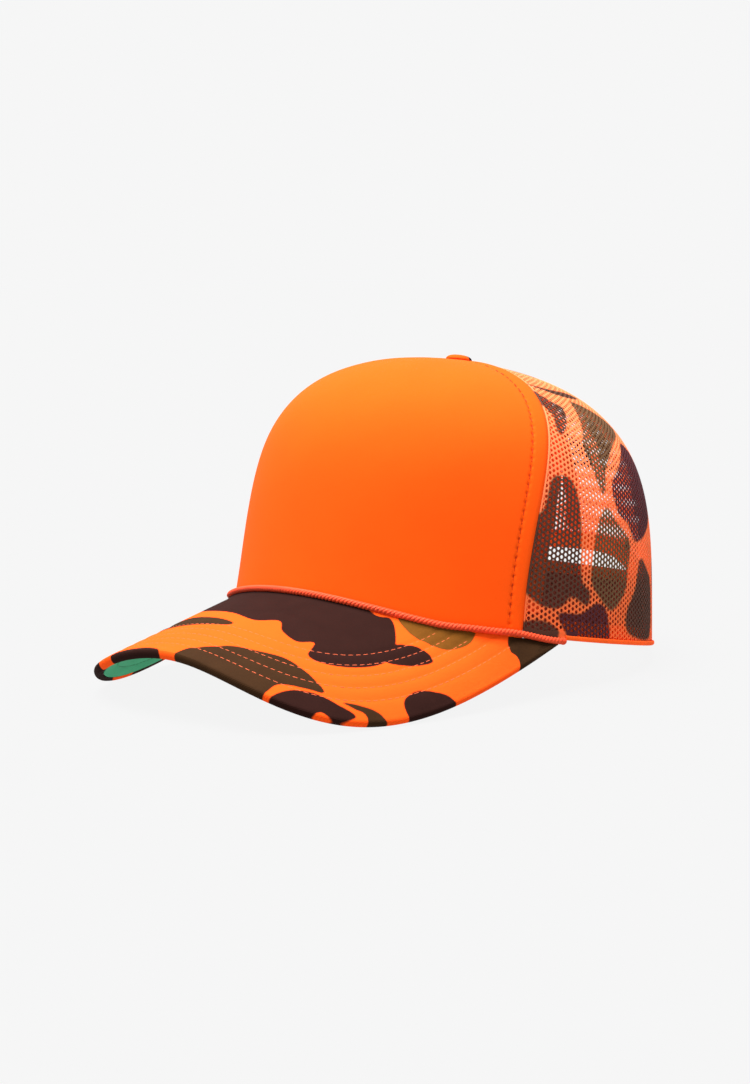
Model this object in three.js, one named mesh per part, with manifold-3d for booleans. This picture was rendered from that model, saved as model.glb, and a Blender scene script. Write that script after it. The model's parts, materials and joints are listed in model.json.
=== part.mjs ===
// Five-panel trucker cap: foam front, mesh sides and back, curved brim, rope trim and a snap strap.
//
// The cap is built with the plane of its rim level: X towards the wearer's left, Y towards the
// back, Z up, millimetres. The finished cap is then tipped back until it stands on the side
// edges of the brim and the back of the rim, which is how it rests on a table.
import * as THREE from "three";
import { mergeVertices } from "three/addons/utils/BufferGeometryUtils.js";
import Module from "manifold-3d";

const wasm = await Module();
wasm.setup();

// ---------------------------------------------------------------- driving dimensions

// The rim is an ellipse of 590 mm round, a one-size head opening.
const RIM_HALF_WIDTH = 89.5;
const RIM_HALF_LENGTH = 98.8;

// The crown is a rounded dome. Higher powers make it boxier.
const CROWN_HEIGHT = 115;
const CROWN_TOP_SHIFT = -11.4;
const PROFILE_POWER = 3.72;
const FRONT_POWER = 2.05;
const SIDE_POWER = 2.16;
const BACK_POWER = 2.58;
const WAIST = 0.023;
const FRONT_WAIST = 0.03;
const PANEL_TOP = 0.987;
const PANEL_ROWS = 14;

// Seams start at these angles from the front and swing back as they climb, in degrees.
const FRONT_SEAM = 63;
const FRONT_SEAM_SWING = 18;
const SIDE_SEAM = 117;
const SIDE_SEAM_SWING = 9;
const SEAM_GAP = 0.4;

// Layers of the crown, as depths below its outer surface.
const CLOTH = { outer: 0, inner: 0.9 };
const FOAM = { outer: 1.2, inner: 4.7, edge: 2.0, edgeWidth: 4, thinFrom: 0.9, thinTo: 0.97 };
const MESH = { outer: 0.3, inner: 1.3 };
const TAPE = { outer: 2.4, inner: 3.0, width: 8, bottom: 9.5, top: 0.93 };
const LABEL = { outer: 5.0, inner: 5.5, halfAngle: 14, bottom: 46, top: 68 };

// Binding folded over the lower edge, mostly inside, and over the edge of the back opening.
const HEM = { outer: -0.6, inner: 2.2, leaf: 0.6, width: 8, edging: 2.4, first: 75.3, last: 141 };
const EDGE_CLEARANCE = 0.9;
const ARCH_HALF_WIDTH = 46;
const ARCH_HEIGHT = 40;
const ARCH_POWER = 3;
const BINDING_GAP = 0.3;

// Sweatband: padding, a cloth over its inner face and a binding over its top edge.
const BAND = { front: 6.0, side: 4.4, bottom: 2, top: 31, lastAngle: 141 };
const BAND_PADDING = 1.0;
const BAND_CLOTH = 0.6;
const BAND_BINDING = { leaf: 0.6, width: 5 };

// The brim is a sheet bent about an axis that runs forward and down.
const BRIM_FRONT_HEIGHT = 3.7;
const BRIM_SLOPE = 21.9;
const BRIM_RADIUS = 109;
const BRIM_TAPER = 0.31;
const BRIM_HALF_WIDTH = 85.8;
const BRIM_LENGTH = 65.6;
const BRIM_END = -14.5;
const BRIM_POWER = 3.07;
const BRIM_ROOT_ANGLE = 72.3;
const BRIM_EDGE_ANGLE = 79.7;
const BRIM_STATION = 0.965;
const BRIM_ROOT_GAP = 0.6;
const BRIM_THIN_END = { share: 0.45, from: 0.86 };
const BRIM_COLUMNS = 26;
const BRIM_ROWS = 4;
const BOARD_HALF = 0.6;
const COVER = { near: 1.2, far: 1.9, fold: 1.6 };
const FOLD_END = -2;
const ROLL_OUT = 0.3;

const ROPE_RADIUS = 1.4;
const ROPE_LAST_ANGLE = 72.5;
const ROPE_DROP = { depth: 1.5, from: 0.955, to: 1.02 };
const TACK = { radius: 1.45, turn: 1.3 };

const BUTTON_RADIUS = 5.8;
const BUTTON_HEIGHT = 2.8;
const BUTTON_BACK_RADIUS = 7;

// Snap strap: two halves on one arc behind the opening.
const STRAP_ARC = 77.4;
const STRAP_CENTRE_Y = 17.5;
const STRAP_ROOT = 41;
const STRAP_BOTTOM = 4;
const STRAP_WIDTH = 18;
const STRAP_OVERLAP = 26;
const HOLE_STRAP_THICKNESS = 1.3;
const PEG_STRAP_THICKNESS = 1.5;
const PEG_STRAP_OUTER = STRAP_ARC - HOLE_STRAP_THICKNESS - 0.3;
const PEG = { radius: 2.1, height: 2.6, pitch: 10, hole: 2.7 };
const STRAP_TAB = { from: 42.4, to: 50.5 };

// How far the cap tips back when it stands, in degrees.
const STANDING_TIP = 10.9;

// ---------------------------------------------------------------- materials

const paint = (color, roughness) => new THREE.MeshStandardMaterial({ color, roughness, metalness: 0 });
const ORANGE_CLOTH = paint(0xff7a2a, 0.85);
const FOAM_ORANGE = paint(0xe8682c, 0.95);
const CAMO_MESH = paint(0xc9713f, 0.8);
const TRIM_ORANGE = paint(0xee5a22, 0.85);
const BAND_BROWN = paint(0x6e2f22, 0.9);
const BRIM_CAMO = paint(0xd9703a, 0.85);
const BRIM_GREEN = paint(0x3a8f66, 0.85);
const BOARD_WHITE = paint(0xe6e6e0, 0.5);
const ROPE_CORAL = paint(0xff6238, 0.7);
const STRAP_PLASTIC = paint(0xf0642a, 0.4);
const LABEL_WHITE = paint(0xefe9e0, 0.9);
const BUTTON_METAL = new THREE.MeshStandardMaterial({ color: 0xb8babd, roughness: 0.35, metalness: 1 });

// ---------------------------------------------------------------- shared helpers

const { abs, asin, cos, max, min, sin, sqrt, PI } = Math;
const { degToRad, lerp, radToDeg, smoothstep } = THREE.MathUtils;

// A superellipse term that keeps the sign of its base.
const signedPower = (base, power) => Math.sign(base) * abs(base) ** power;

// Moves every vertex of a closed geometry, joins shared vertices and turns its faces outwards.
function reshape(geometry, place) {
  const source = geometry.getAttribute("position");
  for (let i = 0; i < source.count; i += 1) {
    const p = place(source.getX(i), source.getY(i), source.getZ(i));
    source.setXYZ(i, p.x, p.y, p.z);
  }
  geometry.deleteAttribute("normal");
  geometry.deleteAttribute("uv");
  const merged = mergeVertices(geometry, 1e-4);
  if (signedVolume(merged) < 0) {
    const index = merged.index.array;
    for (let i = 0; i < index.length; i += 3) {
      [index[i + 1], index[i + 2]] = [index[i + 2], index[i + 1]];
    }
  }
  merged.computeVertexNormals();
  return merged;
}

function signedVolume(geometry) {
  const position = geometry.getAttribute("position");
  const corner = [new THREE.Vector3(), new THREE.Vector3(), new THREE.Vector3()];
  let volume = 0;
  for (let i = 0; i < geometry.index.count; i += 3) {
    corner.forEach((v, k) => v.fromBufferAttribute(position, geometry.index.getX(i + k)));
    volume += corner[0].dot(corner[1].cross(corner[2])) / 6;
  }
  return volume;
}

// A box with its three directions (each 0 to 1) laid onto a curved place.
function bentSheet(columns, rows, place) {
  const box = new THREE.BoxGeometry(1, 1, 1, columns, rows, 1);
  return reshape(box, (x, y, z) => place(x + 0.5, y + 0.5, z + 0.5));
}

// A closed section swept along a curved place: place(t, a, b) with t from 0 to 1.
function bentStrip(section, steps, place) {
  const shape = new THREE.Shape(section.map(([a, b]) => new THREE.Vector2(a, b)));
  const strip = new THREE.ExtrudeGeometry(shape, { depth: 1, steps, bevelEnabled: false });
  return reshape(strip, (a, b, t) => place(t, a, b));
}

// A U-shaped section between two depths: an outer and an inner leaf joined by a fold at 0.
function foldedSection({ outer, inner, leaf, width, edging = width }) {
  return [
    [0, outer],
    [edging, outer],
    [edging, outer + leaf],
    [leaf, outer + leaf],
    [leaf, inner - leaf],
    [width, inner - leaf],
    [width, inner],
    [0, inner],
  ];
}

function toSolid(geometry) {
  return new wasm.Manifold(
    new wasm.Mesh({
      numProp: 3,
      vertProperties: geometry.getAttribute("position").array,
      triVerts: new Uint32Array(geometry.index.array),
    }),
  );
}

function fromSolid(solid) {
  const mesh = solid.getMesh();
  const geometry = new THREE.BufferGeometry();
  geometry.setAttribute("position", new THREE.BufferAttribute(mesh.vertProperties, 3));
  geometry.setIndex(new THREE.BufferAttribute(mesh.triVerts, 1));
  geometry.computeVertexNormals();
  return geometry;
}

const cap = new THREE.Group();

function add(name, geometry, material) {
  const mesh = new THREE.Mesh(geometry, material);
  mesh.name = name;
  cap.add(mesh);
  return mesh;
}

// Adds a piece and its mirror image; `make` gets the side: 1 wearer's left, -1 right.
function addPair(name, make, material) {
  add(`${name}_left`, make(1), material);
  add(`${name}_right`, make(-1), material);
}

// ---------------------------------------------------------------- crown surface

// `angle` is in degrees from the front towards the wearer's left. `climb` runs from 0 at the
// rim to 1 at the top, evenly along the wall; below the rim the wall goes straight down.
const CLIMB_POWER = PROFILE_POWER / 2;
const LOW_RISE = CROWN_HEIGHT * (PI / 2) ** (2 / PROFILE_POWER);

function heightAt(climb) {
  if (climb < 0) return climb * LOW_RISE;
  return CROWN_HEIGHT * sin((PI / 2) * climb ** CLIMB_POWER) ** (2 / PROFILE_POWER);
}

function climbAt(height) {
  if (height < 0) return height / LOW_RISE;
  const lift = asin((height / CROWN_HEIGHT) ** (PROFILE_POWER / 2));
  return (lift / (PI / 2)) ** (1 / CLIMB_POWER);
}

// Share of the rim's reach that is left at this place on the wall.
function reachAt(angle, climb) {
  if (climb <= 0) return 1;
  const forward = cos(degToRad(angle));
  const toFront = max(forward, 0) ** 2;
  const toBack = max(-forward, 0) ** 2;
  const power = SIDE_POWER + (FRONT_POWER - SIDE_POWER) * toFront + (BACK_POWER - SIDE_POWER) * toBack;
  const waist = (WAIST + FRONT_WAIST * toFront) * sin((PI * heightAt(climb)) / CROWN_HEIGHT);
  return cos((PI / 2) * min(climb, 1) ** CLIMB_POWER) ** (2 / power) * (1 - waist);
}

function skin(angle, climb) {
  const reach = reachAt(angle, climb);
  const height = heightAt(climb);
  const turn = degToRad(angle);
  return new THREE.Vector3(
    RIM_HALF_WIDTH * sin(turn) * reach,
    -RIM_HALF_LENGTH * cos(turn) * reach + CROWN_TOP_SHIFT * max(height / CROWN_HEIGHT, 0),
    height,
  );
}

// A point `depth` below the crown's outer surface; negative depths stand outside it.
function crownPoint(angle, climb, depth) {
  const step = 1e-3;
  const around = skin(angle + 0.1, climb).sub(skin(angle - 0.1, climb));
  const upward = skin(angle, min(climb + step, 0.9999)).sub(skin(angle, climb - step));
  const outward = around.cross(upward).normalize();
  return skin(angle, climb).addScaledVector(outward, -depth);
}

const crownAtHeight = (angle, height, depth) => crownPoint(angle, climbAt(height), depth);

// ---------------------------------------------------------------- brim surface

function brimHeight(x, y) {
  const forward = -y - RIM_HALF_LENGTH;
  const radius = BRIM_RADIUS - BRIM_TAPER * forward;
  const sag = radius - sqrt(radius * radius - x * x);
  return BRIM_FRONT_HEIGHT - Math.tan(degToRad(BRIM_SLOPE)) * forward - sag;
}

function brimNormal(x, y) {
  const step = 0.05;
  const slopeX = (brimHeight(x + step, y) - brimHeight(x - step, y)) / (2 * step);
  const slopeY = (brimHeight(x, y + step) - brimHeight(x, y - step)) / (2 * step);
  return new THREE.Vector3(-slopeX, -slopeY, 1).normalize();
}

function brimPoint(x, y, lift) {
  return new THREE.Vector3(x, y, brimHeight(x, y)).addScaledVector(brimNormal(x, y), lift);
}

// Where the brim leaves the crown, `across` from -1 (right) to 1 (left).
function brimRoot(across, gap) {
  const turn = degToRad(BRIM_ROOT_ANGLE * across);
  return new THREE.Vector2(
    (RIM_HALF_WIDTH + gap) * sin(turn),
    -(RIM_HALF_LENGTH + gap) * cos(turn),
  );
}

// The brim's outer edge in plan, a superellipse in polar form, moved outwards by `grow`.
function brimEdge(across, grow) {
  const at = (share) => {
    const turn = degToRad(BRIM_EDGE_ANGLE * share);
    const length = RIM_HALF_LENGTH + BRIM_LENGTH + BRIM_END;
    const reach = (
      abs(sin(turn) / BRIM_HALF_WIDTH) ** BRIM_POWER + abs(cos(turn) / length) ** BRIM_POWER
    ) ** (-1 / BRIM_POWER);
    return new THREE.Vector2(reach * sin(turn), BRIM_END - reach * cos(turn));
  };
  const along = at(across + 1e-3).sub(at(across - 1e-3)).normalize();
  return at(across).add(new THREE.Vector2(along.y, -along.x).multiplyScalar(grow));
}

// `out` runs from 0 at the crown to 1 at the edge.
// The brim thins where it runs out into the crown.
function endThickness(across) {
  return lerp(1, BRIM_THIN_END.share, smoothstep(abs(across), BRIM_THIN_END.from, BRIM_STATION));
}

function brimSheetPoint(across, out, lift, grow) {
  const plan = brimRoot(across, BRIM_ROOT_GAP).lerp(brimEdge(across, grow), out);
  return brimPoint(plan.x, plan.y, lift * endThickness(across));
}

// Height of the crown's lower edge: it follows the brim, then eases down to the rim plane.
function edgeHeight(angle) {
  const turn = min(abs(angle), BRIM_ROOT_ANGLE) / BRIM_ROOT_ANGLE;
  const root = brimRoot(turn, 0);
  const ease = 1 - smoothstep(abs(angle), BRIM_ROOT_ANGLE, 115);
  return brimHeight(root.x, root.y) * ease;
}

// ---------------------------------------------------------------- crown panels

const seamAngle = (base, swing, climb) => base + swing * max(heightAt(climb) / CROWN_HEIGHT, 0) ** 1.8;
const frontSeam = (climb) => seamAngle(FRONT_SEAM, FRONT_SEAM_SWING, climb);
const sideSeam = (climb) => seamAngle(SIDE_SEAM, SIDE_SEAM_SWING, climb);

// Turn in degrees that covers `width` millimetres round the crown at this climb.
const turnFor = (width, climb) => radToDeg(width / (RIM_HALF_WIDTH * reachAt(90, climb)));

// A panel between two edge angles, from its lower edge up to the top opening.
function crownPanel({ from, to, bottom, depths, columns, rows }) {
  return bentSheet(columns, rows, (u, v, w) => {
    const low = climbAt(bottom(u));
    const climb = lerp(low, PANEL_TOP, v);
    const gap = turnFor(SEAM_GAP / 2, climb);
    const angle = lerp(from(climb) + gap, to(climb) - gap, u);
    const { outer, inner } = depths(u, climb);
    return crownPoint(angle, climb, lerp(inner, outer, w));
  });
}

function frontPanel(depths) {
  const low = frontSeam(0);
  return crownPanel({
    from: (climb) => -frontSeam(climb),
    to: frontSeam,
    bottom: (u) => edgeHeight(lerp(-low, low, u)) - 1,
    depths,
    columns: 22,
    rows: PANEL_ROWS,
  });
}

// The foam thins out towards the seams and the top button, where it is sewn flat.
function foamDepths(u, climb) {
  const fromSeam = min(u, 1 - u) * 2 * frontSeam(climb);
  const thickness = smoothstep(fromSeam, 0.3, FOAM.edgeWidth)
    * (1 - smoothstep(climb, FOAM.thinFrom, FOAM.thinTo));
  const inner = lerp(FOAM.edge, FOAM.inner, thickness);
  return { outer: FOAM.outer, inner };
}

function sideMesh(side) {
  return crownPanel({
    from: (climb) => side * (side > 0 ? frontSeam(climb) : sideSeam(climb)),
    to: (climb) => side * (side > 0 ? sideSeam(climb) : frontSeam(climb)),
    bottom: (u) => {
      const share = side > 0 ? u : 1 - u;
      return edgeHeight(lerp(frontSeam(0), sideSeam(0), share)) + EDGE_CLEARANCE;
    },
    depths: () => MESH,
    columns: 10,
    rows: PANEL_ROWS,
  });
}

// Angle at which the back of the crown lies x to the side of the centre line.
function backAngle(x, height) {
  let angle = 180;
  for (let i = 0; i < 12; i += 1) {
    const reach = RIM_HALF_WIDTH * reachAt(angle, climbAt(height));
    angle = 180 - radToDeg(asin(min(x / reach, 1)));
  }
  return angle;
}

// The back opening's outline, `turn` from 0 at its left foot to 180 at its right foot.
function archOutline(turn, grow) {
  const power = 2 / ARCH_POWER;
  return {
    x: (ARCH_HALF_WIDTH + grow) * signedPower(cos(degToRad(turn)), power),
    height: (ARCH_HEIGHT + grow) * signedPower(sin(degToRad(turn)), power),
  };
}

// Rear panels: the lower edge follows the rim first and then the arch up to the centre back.
const RIM_SHARE = 0.4;

function rearPanelEdge(share) {
  const corner = backAngle(ARCH_HALF_WIDTH + EDGE_CLEARANCE, 0);
  if (share < RIM_SHARE) {
    const angle = lerp(sideSeam(0), corner, share / RIM_SHARE);
    return { angle, height: EDGE_CLEARANCE };
  }
  const turn = (90 * (share - RIM_SHARE)) / (1 - RIM_SHARE);
  const { x, height } = archOutline(turn, EDGE_CLEARANCE);
  const raised = max(height, EDGE_CLEARANCE);
  return { angle: backAngle(max(x, 1e-6), raised), height: raised };
}

function rearMesh(side) {
  return bentSheet(16, PANEL_ROWS, (u, v, w) => {
    const edge = rearPanelEdge(side > 0 ? u : 1 - u);
    const low = climbAt(edge.height);
    const share = (edge.angle - sideSeam(low)) / (180 - sideSeam(low));
    const climb = lerp(low, PANEL_TOP, v);
    const gap = turnFor(SEAM_GAP / 2, climb);
    const angle = lerp(sideSeam(climb) + gap, 180 - gap, share);
    return crownPoint(side * angle, climb, lerp(MESH.inner, MESH.outer, w));
  });
}

// ---------------------------------------------------------------- seam tapes and bindings

// A tape behind a seam, lying between two distances from it, in millimetres.
function seamTape(seam, before, after, bottom) {
  return bentSheet(1, PANEL_ROWS, (u, v, w) => {
    const climb = lerp(climbAt(bottom), TAPE.top, v);
    const angle = seam(climb) + turnFor(lerp(before, after, u), climb);
    return crownPoint(angle, climb, lerp(TAPE.inner, TAPE.outer, w));
  });
}

function frontTape(side) {
  const [before, after] = side > 0 ? [0.3, TAPE.width] : [-TAPE.width, -0.3];
  return seamTape((climb) => side * frontSeam(climb), before, after, TAPE.bottom);
}

function sideTape(side) {
  const seam = (climb) => side * sideSeam(climb);
  return seamTape(seam, -TAPE.width / 2, TAPE.width / 2, TAPE.bottom);
}

function hemBinding(side) {
  return bentStrip(foldedSection(HEM), 12, (t, up, depth) => {
    const angle = lerp(HEM.first, HEM.last, t);
    return crownAtHeight(side * angle, edgeHeight(angle) + up, depth);
  });
}

function archBinding() {
  const section = foldedSection({ ...HEM, edging: HEM.width });
  return bentStrip(section, 22, (t, grow, depth) => {
    const { x, height } = archOutline(180 * t, grow);
    const angle = backAngle(abs(x), max(height, 0));
    return crownAtHeight(x < 0 ? 360 - angle : angle, max(height, 0), depth);
  });
}

// ---------------------------------------------------------------- sweatband

// Depth of the padding's outer face: deeper behind the foam than behind the mesh.
const bandDepth = (angle) => lerp(BAND.front, BAND.side, smoothstep(abs(angle), 62, 74));

function bandStrip(section, steps) {
  return bentStrip(section, steps, (t, up, depth) => {
    const angle = lerp(-BAND.lastAngle, BAND.lastAngle, t);
    return crownAtHeight(angle, max(edgeHeight(angle), 0) + up, bandDepth(angle) + depth);
  });
}

function bandLayer(outer, inner, bottom, top) {
  return [
    [bottom, outer],
    [top, outer],
    [top, inner],
    [bottom, inner],
  ];
}

function bandBinding() {
  const { leaf, width } = BAND_BINDING;
  const outer = -BINDING_GAP - leaf;
  const inner = BAND_PADDING + BINDING_GAP + BAND_CLOTH + BINDING_GAP + leaf;
  const fold = BAND.top + BINDING_GAP + leaf;
  return foldedSection({ outer, inner, leaf, width }).map(([down, depth]) => [fold - down, depth]);
}

// ---------------------------------------------------------------- brim

function brimBoard() {
  return bentSheet(BRIM_COLUMNS, BRIM_ROWS, (u, v, w) => {
    const across = lerp(-BRIM_STATION, BRIM_STATION, u);
    return brimSheetPoint(across, 1 - v, lerp(-BOARD_HALF, BOARD_HALF, w), -0.4);
  });
}

// The under cover stops at the folded edge of the top cover.
function brimUnderCover() {
  return bentSheet(BRIM_COLUMNS, BRIM_ROWS, (u, v, w) => {
    const across = lerp(-BRIM_STATION, BRIM_STATION, u);
    return brimSheetPoint(across, 1 - v, -lerp(COVER.far, COVER.near, w), -foldWidth(across) - 0.4);
  });
}

// The fold narrows where the brim runs out into the crown.
function foldWidth(across) {
  const width = brimEdge(across, 0).distanceTo(brimRoot(across, BRIM_ROOT_GAP));
  return min(COVER.fold, width * 0.45);
}

// The top cover runs over the brim, round its edge and a little way back underneath. In its
// section, places from -1 to 0 lie on the brim from crown to edge, and those above 0 stand out
// from the edge, in millimetres.
function brimTopCover() {
  const rows = [-1, -0.75, -0.5, -0.25, 0];
  const roll = (radius) => [60, 20, -20, -60].map((turn) => [
    ROLL_OUT + 0.5 * radius * cos(degToRad(turn)),
    radius * sin(degToRad(turn)),
  ]);
  const outside = [...rows.map((out) => [out, COVER.far]), ...roll(COVER.far), [FOLD_END, -COVER.far]];
  const inside = [[FOLD_END, -COVER.near], ...roll(COVER.near).reverse(), ...rows.map((out) => [out, COVER.near]).reverse()];
  return bentStrip([...outside, ...inside], BRIM_COLUMNS, (t, out, lift) => {
    const across = lerp(-BRIM_STATION, BRIM_STATION, t);
    if (out <= 0 && out > FOLD_END) return brimSheetPoint(across, 1 + out, lift, 0);
    const plan = brimEdge(across, out === FOLD_END ? -foldWidth(across) : out);
    return brimPoint(plan.x, plan.y, lift * endThickness(across));
  });
}

// The rope lies in the corner between the crown and the brim, and drops a little past the
// brim's ends.
function ropeCentre(angle) {
  const across = angle / BRIM_ROOT_ANGLE;
  const root = brimRoot(across, BRIM_ROOT_GAP + ROPE_RADIUS + 0.3);
  const steepness = 1 / brimNormal(root.x, root.y).z;
  const lift = (COVER.far * endThickness(across) + 0.3 + ROPE_RADIUS) * steepness;
  const drop = ROPE_DROP.depth * smoothstep(abs(across), ROPE_DROP.from, ROPE_DROP.to);
  return new THREE.Vector3(root.x, root.y, brimHeight(root.x, root.y) + lift - drop);
}

function brimRope() {
  const points = [];
  for (let i = 0; i <= 24; i += 1) points.push(ropeCentre(lerp(-ROPE_LAST_ANGLE, ROPE_LAST_ANGLE, i / 24)));
  const section = new THREE.Shape();
  section.absarc(0, 0, ROPE_RADIUS, 0, 2 * PI, false);
  const tube = new THREE.ExtrudeGeometry(section, {
    steps: 56,
    curveSegments: 4,
    extrudePath: new THREE.CatmullRomCurve3(points),
  });
  return reshape(tube, (x, y, z) => new THREE.Vector3(x, y, z));
}

// A knot of thread that holds the end of the rope at the brim's corner.
function ropeTack(side) {
  const centre = ropeCentre(side * (ROPE_LAST_ANGLE + TACK.turn));
  const knot = new THREE.SphereGeometry(TACK.radius, 10, 6);
  return reshape(knot, (x, y, z) => new THREE.Vector3(x, y, z).add(centre));
}

// ---------------------------------------------------------------- top button

const lathe = (profile, segments) => new THREE.LatheGeometry(
  profile.map(([r, z]) => new THREE.Vector2(r, z)),
  segments,
);

// A turned piece stood upright on the crown's top centre.
function topPiece(profile, segments) {
  return reshape(lathe(profile, segments), (x, y, z) => new THREE.Vector3(x, CROWN_TOP_SHIFT - z, y + CROWN_HEIGHT));
}

// A quarter-ellipse profile from the rim of a dome to its top.
function domeProfile(radius, base, height, steps) {
  const profile = [];
  for (let i = 0; i <= steps; i += 1) {
    const turn = (PI / 2) * (i / steps);
    profile.push([i === steps ? 0 : radius * cos(turn), base + height * sin(turn)]);
  }
  return profile;
}

function buttonCover() {
  const outside = domeProfile(BUTTON_RADIUS, 0.5, BUTTON_HEIGHT, 5);
  const inside = domeProfile(BUTTON_RADIUS - 0.7, 0.5, BUTTON_HEIGHT - 0.7, 5).reverse();
  return topPiece([...inside, ...outside].concat([inside[0]]).slice(0, -1), 16);
}

function buttonCore() {
  const dome = domeProfile(BUTTON_RADIUS - 1.0, 0.5, BUTTON_HEIGHT - 1.0, 4);
  return topPiece([[0, -1.8], [1.4, -1.8], [1.4, 0.5], ...dome], 12);
}

function buttonBack() {
  const top = -2.9;
  return topPiece([[0, top - 1], [BUTTON_BACK_RADIUS, top - 1], [BUTTON_BACK_RADIUS, top], [0, top]], 16);
}

// ---------------------------------------------------------------- snap strap

// A point on the strap's arc: x across the back, height up, `radius` from the arc's centre.
function strapPoint(x, height, radius) {
  const turn = asin(x / STRAP_ARC);
  return new THREE.Vector3(radius * sin(turn), STRAP_CENTRE_Y + radius * cos(turn), height);
}

// Half of the strap, from its sewn root across the opening to its rounded free end.
function strapBlade(side, outer, thickness) {
  return bentSheet(20, 1, (u, v, w) => {
    const x = side * lerp(STRAP_ROOT + 0.8, -STRAP_OVERLAP, u);
    const toEnd = max(8 - (1 - u) * (STRAP_ROOT + 0.8 + STRAP_OVERLAP), 0) / 9.5;
    const half = (STRAP_WIDTH / 2) * sqrt(1 - toEnd * toEnd);
    const height = STRAP_BOTTOM + STRAP_WIDTH / 2 + (v - 0.5) * 2 * half;
    return strapPoint(x, height, outer - thickness * w);
  });
}

// A turned piece whose axis points outwards through the strap at x.
function strapPiece(profile, x, radius) {
  const base = strapPoint(x, STRAP_BOTTOM + STRAP_WIDTH / 2, radius);
  const turn = asin(x / STRAP_ARC);
  const outward = new THREE.Vector3(sin(turn), cos(turn), 0);
  const across = new THREE.Vector3(cos(turn), -sin(turn), 0);
  return reshape(lathe(profile, 12), (px, py, pz) => base.clone()
    .addScaledVector(outward, py)
    .addScaledVector(across, px)
    .add(new THREE.Vector3(0, 0, pz)));
}

function holeStrap() {
  let solid = toSolid(strapBlade(-1, STRAP_ARC, HOLE_STRAP_THICKNESS));
  const punch = [[0, -3], [PEG.hole, -3], [PEG.hole, 3], [0, 3]];
  for (let x = -3 * PEG.pitch; x <= 2 * PEG.pitch; x += PEG.pitch) {
    solid = solid.subtract(toSolid(strapPiece(punch, x, STRAP_ARC - HOLE_STRAP_THICKNESS / 2)));
  }
  return fromSolid(solid);
}

function pegStrap() {
  let solid = toSolid(strapBlade(1, PEG_STRAP_OUTER, PEG_STRAP_THICKNESS));
  const peg = [[0, -0.4], [PEG.radius, -0.4], [PEG.radius, 1.3], [1.75, 2.0], [1.0, 2.45], [0, PEG.height]];
  for (let x = -2 * PEG.pitch; x <= 3 * PEG.pitch; x += PEG.pitch) {
    solid = solid.add(toSolid(strapPiece(peg, x, PEG_STRAP_OUTER)));
  }
  return fromSolid(solid);
}

// The sewn cloth tab that continues a strap half behind the binding.
function strapTab(side) {
  return bentSheet(4, 1, (u, v, w) => {
    const x = side * lerp(STRAP_TAB.from, STRAP_TAB.to, u);
    return strapPoint(x, STRAP_BOTTOM + 1 + v * (STRAP_WIDTH - 2), PEG_STRAP_OUTER - PEG_STRAP_THICKNESS * w);
  });
}

// ---------------------------------------------------------------- assembly

add("front_panel_cloth", frontPanel(() => CLOTH), ORANGE_CLOTH);
add("front_panel_foam", frontPanel(foamDepths), FOAM_ORANGE);
addPair("side_mesh", sideMesh, CAMO_MESH);
addPair("rear_mesh", rearMesh, CAMO_MESH);

addPair("front_seam_tape", frontTape, TRIM_ORANGE);
addPair("side_seam_tape", sideTape, TRIM_ORANGE);
add("centre_back_tape", seamTape(() => 180, -TAPE.width / 2, TAPE.width / 2, ARCH_HEIGHT + 10), TRIM_ORANGE);
addPair("hem_binding", hemBinding, TRIM_ORANGE);
add("arch_binding", archBinding(), TRIM_ORANGE);

const clothOuter = BAND_PADDING + BINDING_GAP;
add("sweatband_padding", bandStrip(bandLayer(0, BAND_PADDING, BAND.bottom, BAND.top), 34), BAND_BROWN);
add("sweatband_cloth", bandStrip(bandLayer(clothOuter, clothOuter + BAND_CLOTH, BAND.bottom, BAND.top), 34), BAND_BROWN);
add("sweatband_binding", bandStrip(bandBinding(), 34), TRIM_ORANGE);
add("inside_label", bentSheet(5, 2, (u, v, w) => crownAtHeight(
  lerp(-LABEL.halfAngle, LABEL.halfAngle, u),
  lerp(LABEL.bottom, LABEL.top, v),
  lerp(LABEL.inner, LABEL.outer, w),
)), LABEL_WHITE);

add("brim_top_cover", brimTopCover(), BRIM_CAMO);
add("brim_board", brimBoard(), BOARD_WHITE);
add("brim_under_cover", brimUnderCover(), BRIM_GREEN);
add("brim_rope", brimRope(), ROPE_CORAL);
addPair("rope_tack", ropeTack, ROPE_CORAL);

add("top_button_cover", buttonCover(), ORANGE_CLOTH);
add("top_button_core", buttonCore(), BUTTON_METAL);
add("top_button_back", buttonBack(), BUTTON_METAL);

addPair("strap_tab", strapTab, TRIM_ORANGE);
add("strap_with_holes", holeStrap(), STRAP_PLASTIC);
add("strap_with_pegs", pegStrap(), STRAP_PLASTIC);

// The cap stands on the table with its origin under the middle of its outline.
cap.rotation.x = -degToRad(STANDING_TIP);
cap.updateMatrixWorld(true);
const outline = new THREE.Box3().setFromObject(cap, true);
cap.position.set(0, -(outline.min.y + outline.max.y) / 2, -outline.min.z);

const part = new THREE.Group();
part.add(cap);

export default part;
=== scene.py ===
"""Looks of the trucker mesh cap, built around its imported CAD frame.

Every piece is worked out in the cap's own rim frame, in millimetres: X to the wearer's left, Y to
the back, Z up, with the rim plane level. `to_part` then turns it into the part's frame, in metres.
Places on the crown are (angle, climb): degrees from the front towards the wearer's left, and 0 at
the rim to 1 at the top. Places on the brim are its plan, x and y. A depth is measured inwards from
the crown's skin, and a lift upwards from the middle of the brim.
"""
import json
import math

import bpy
import numpy as np
from mathutils import Matrix, Vector


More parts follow.
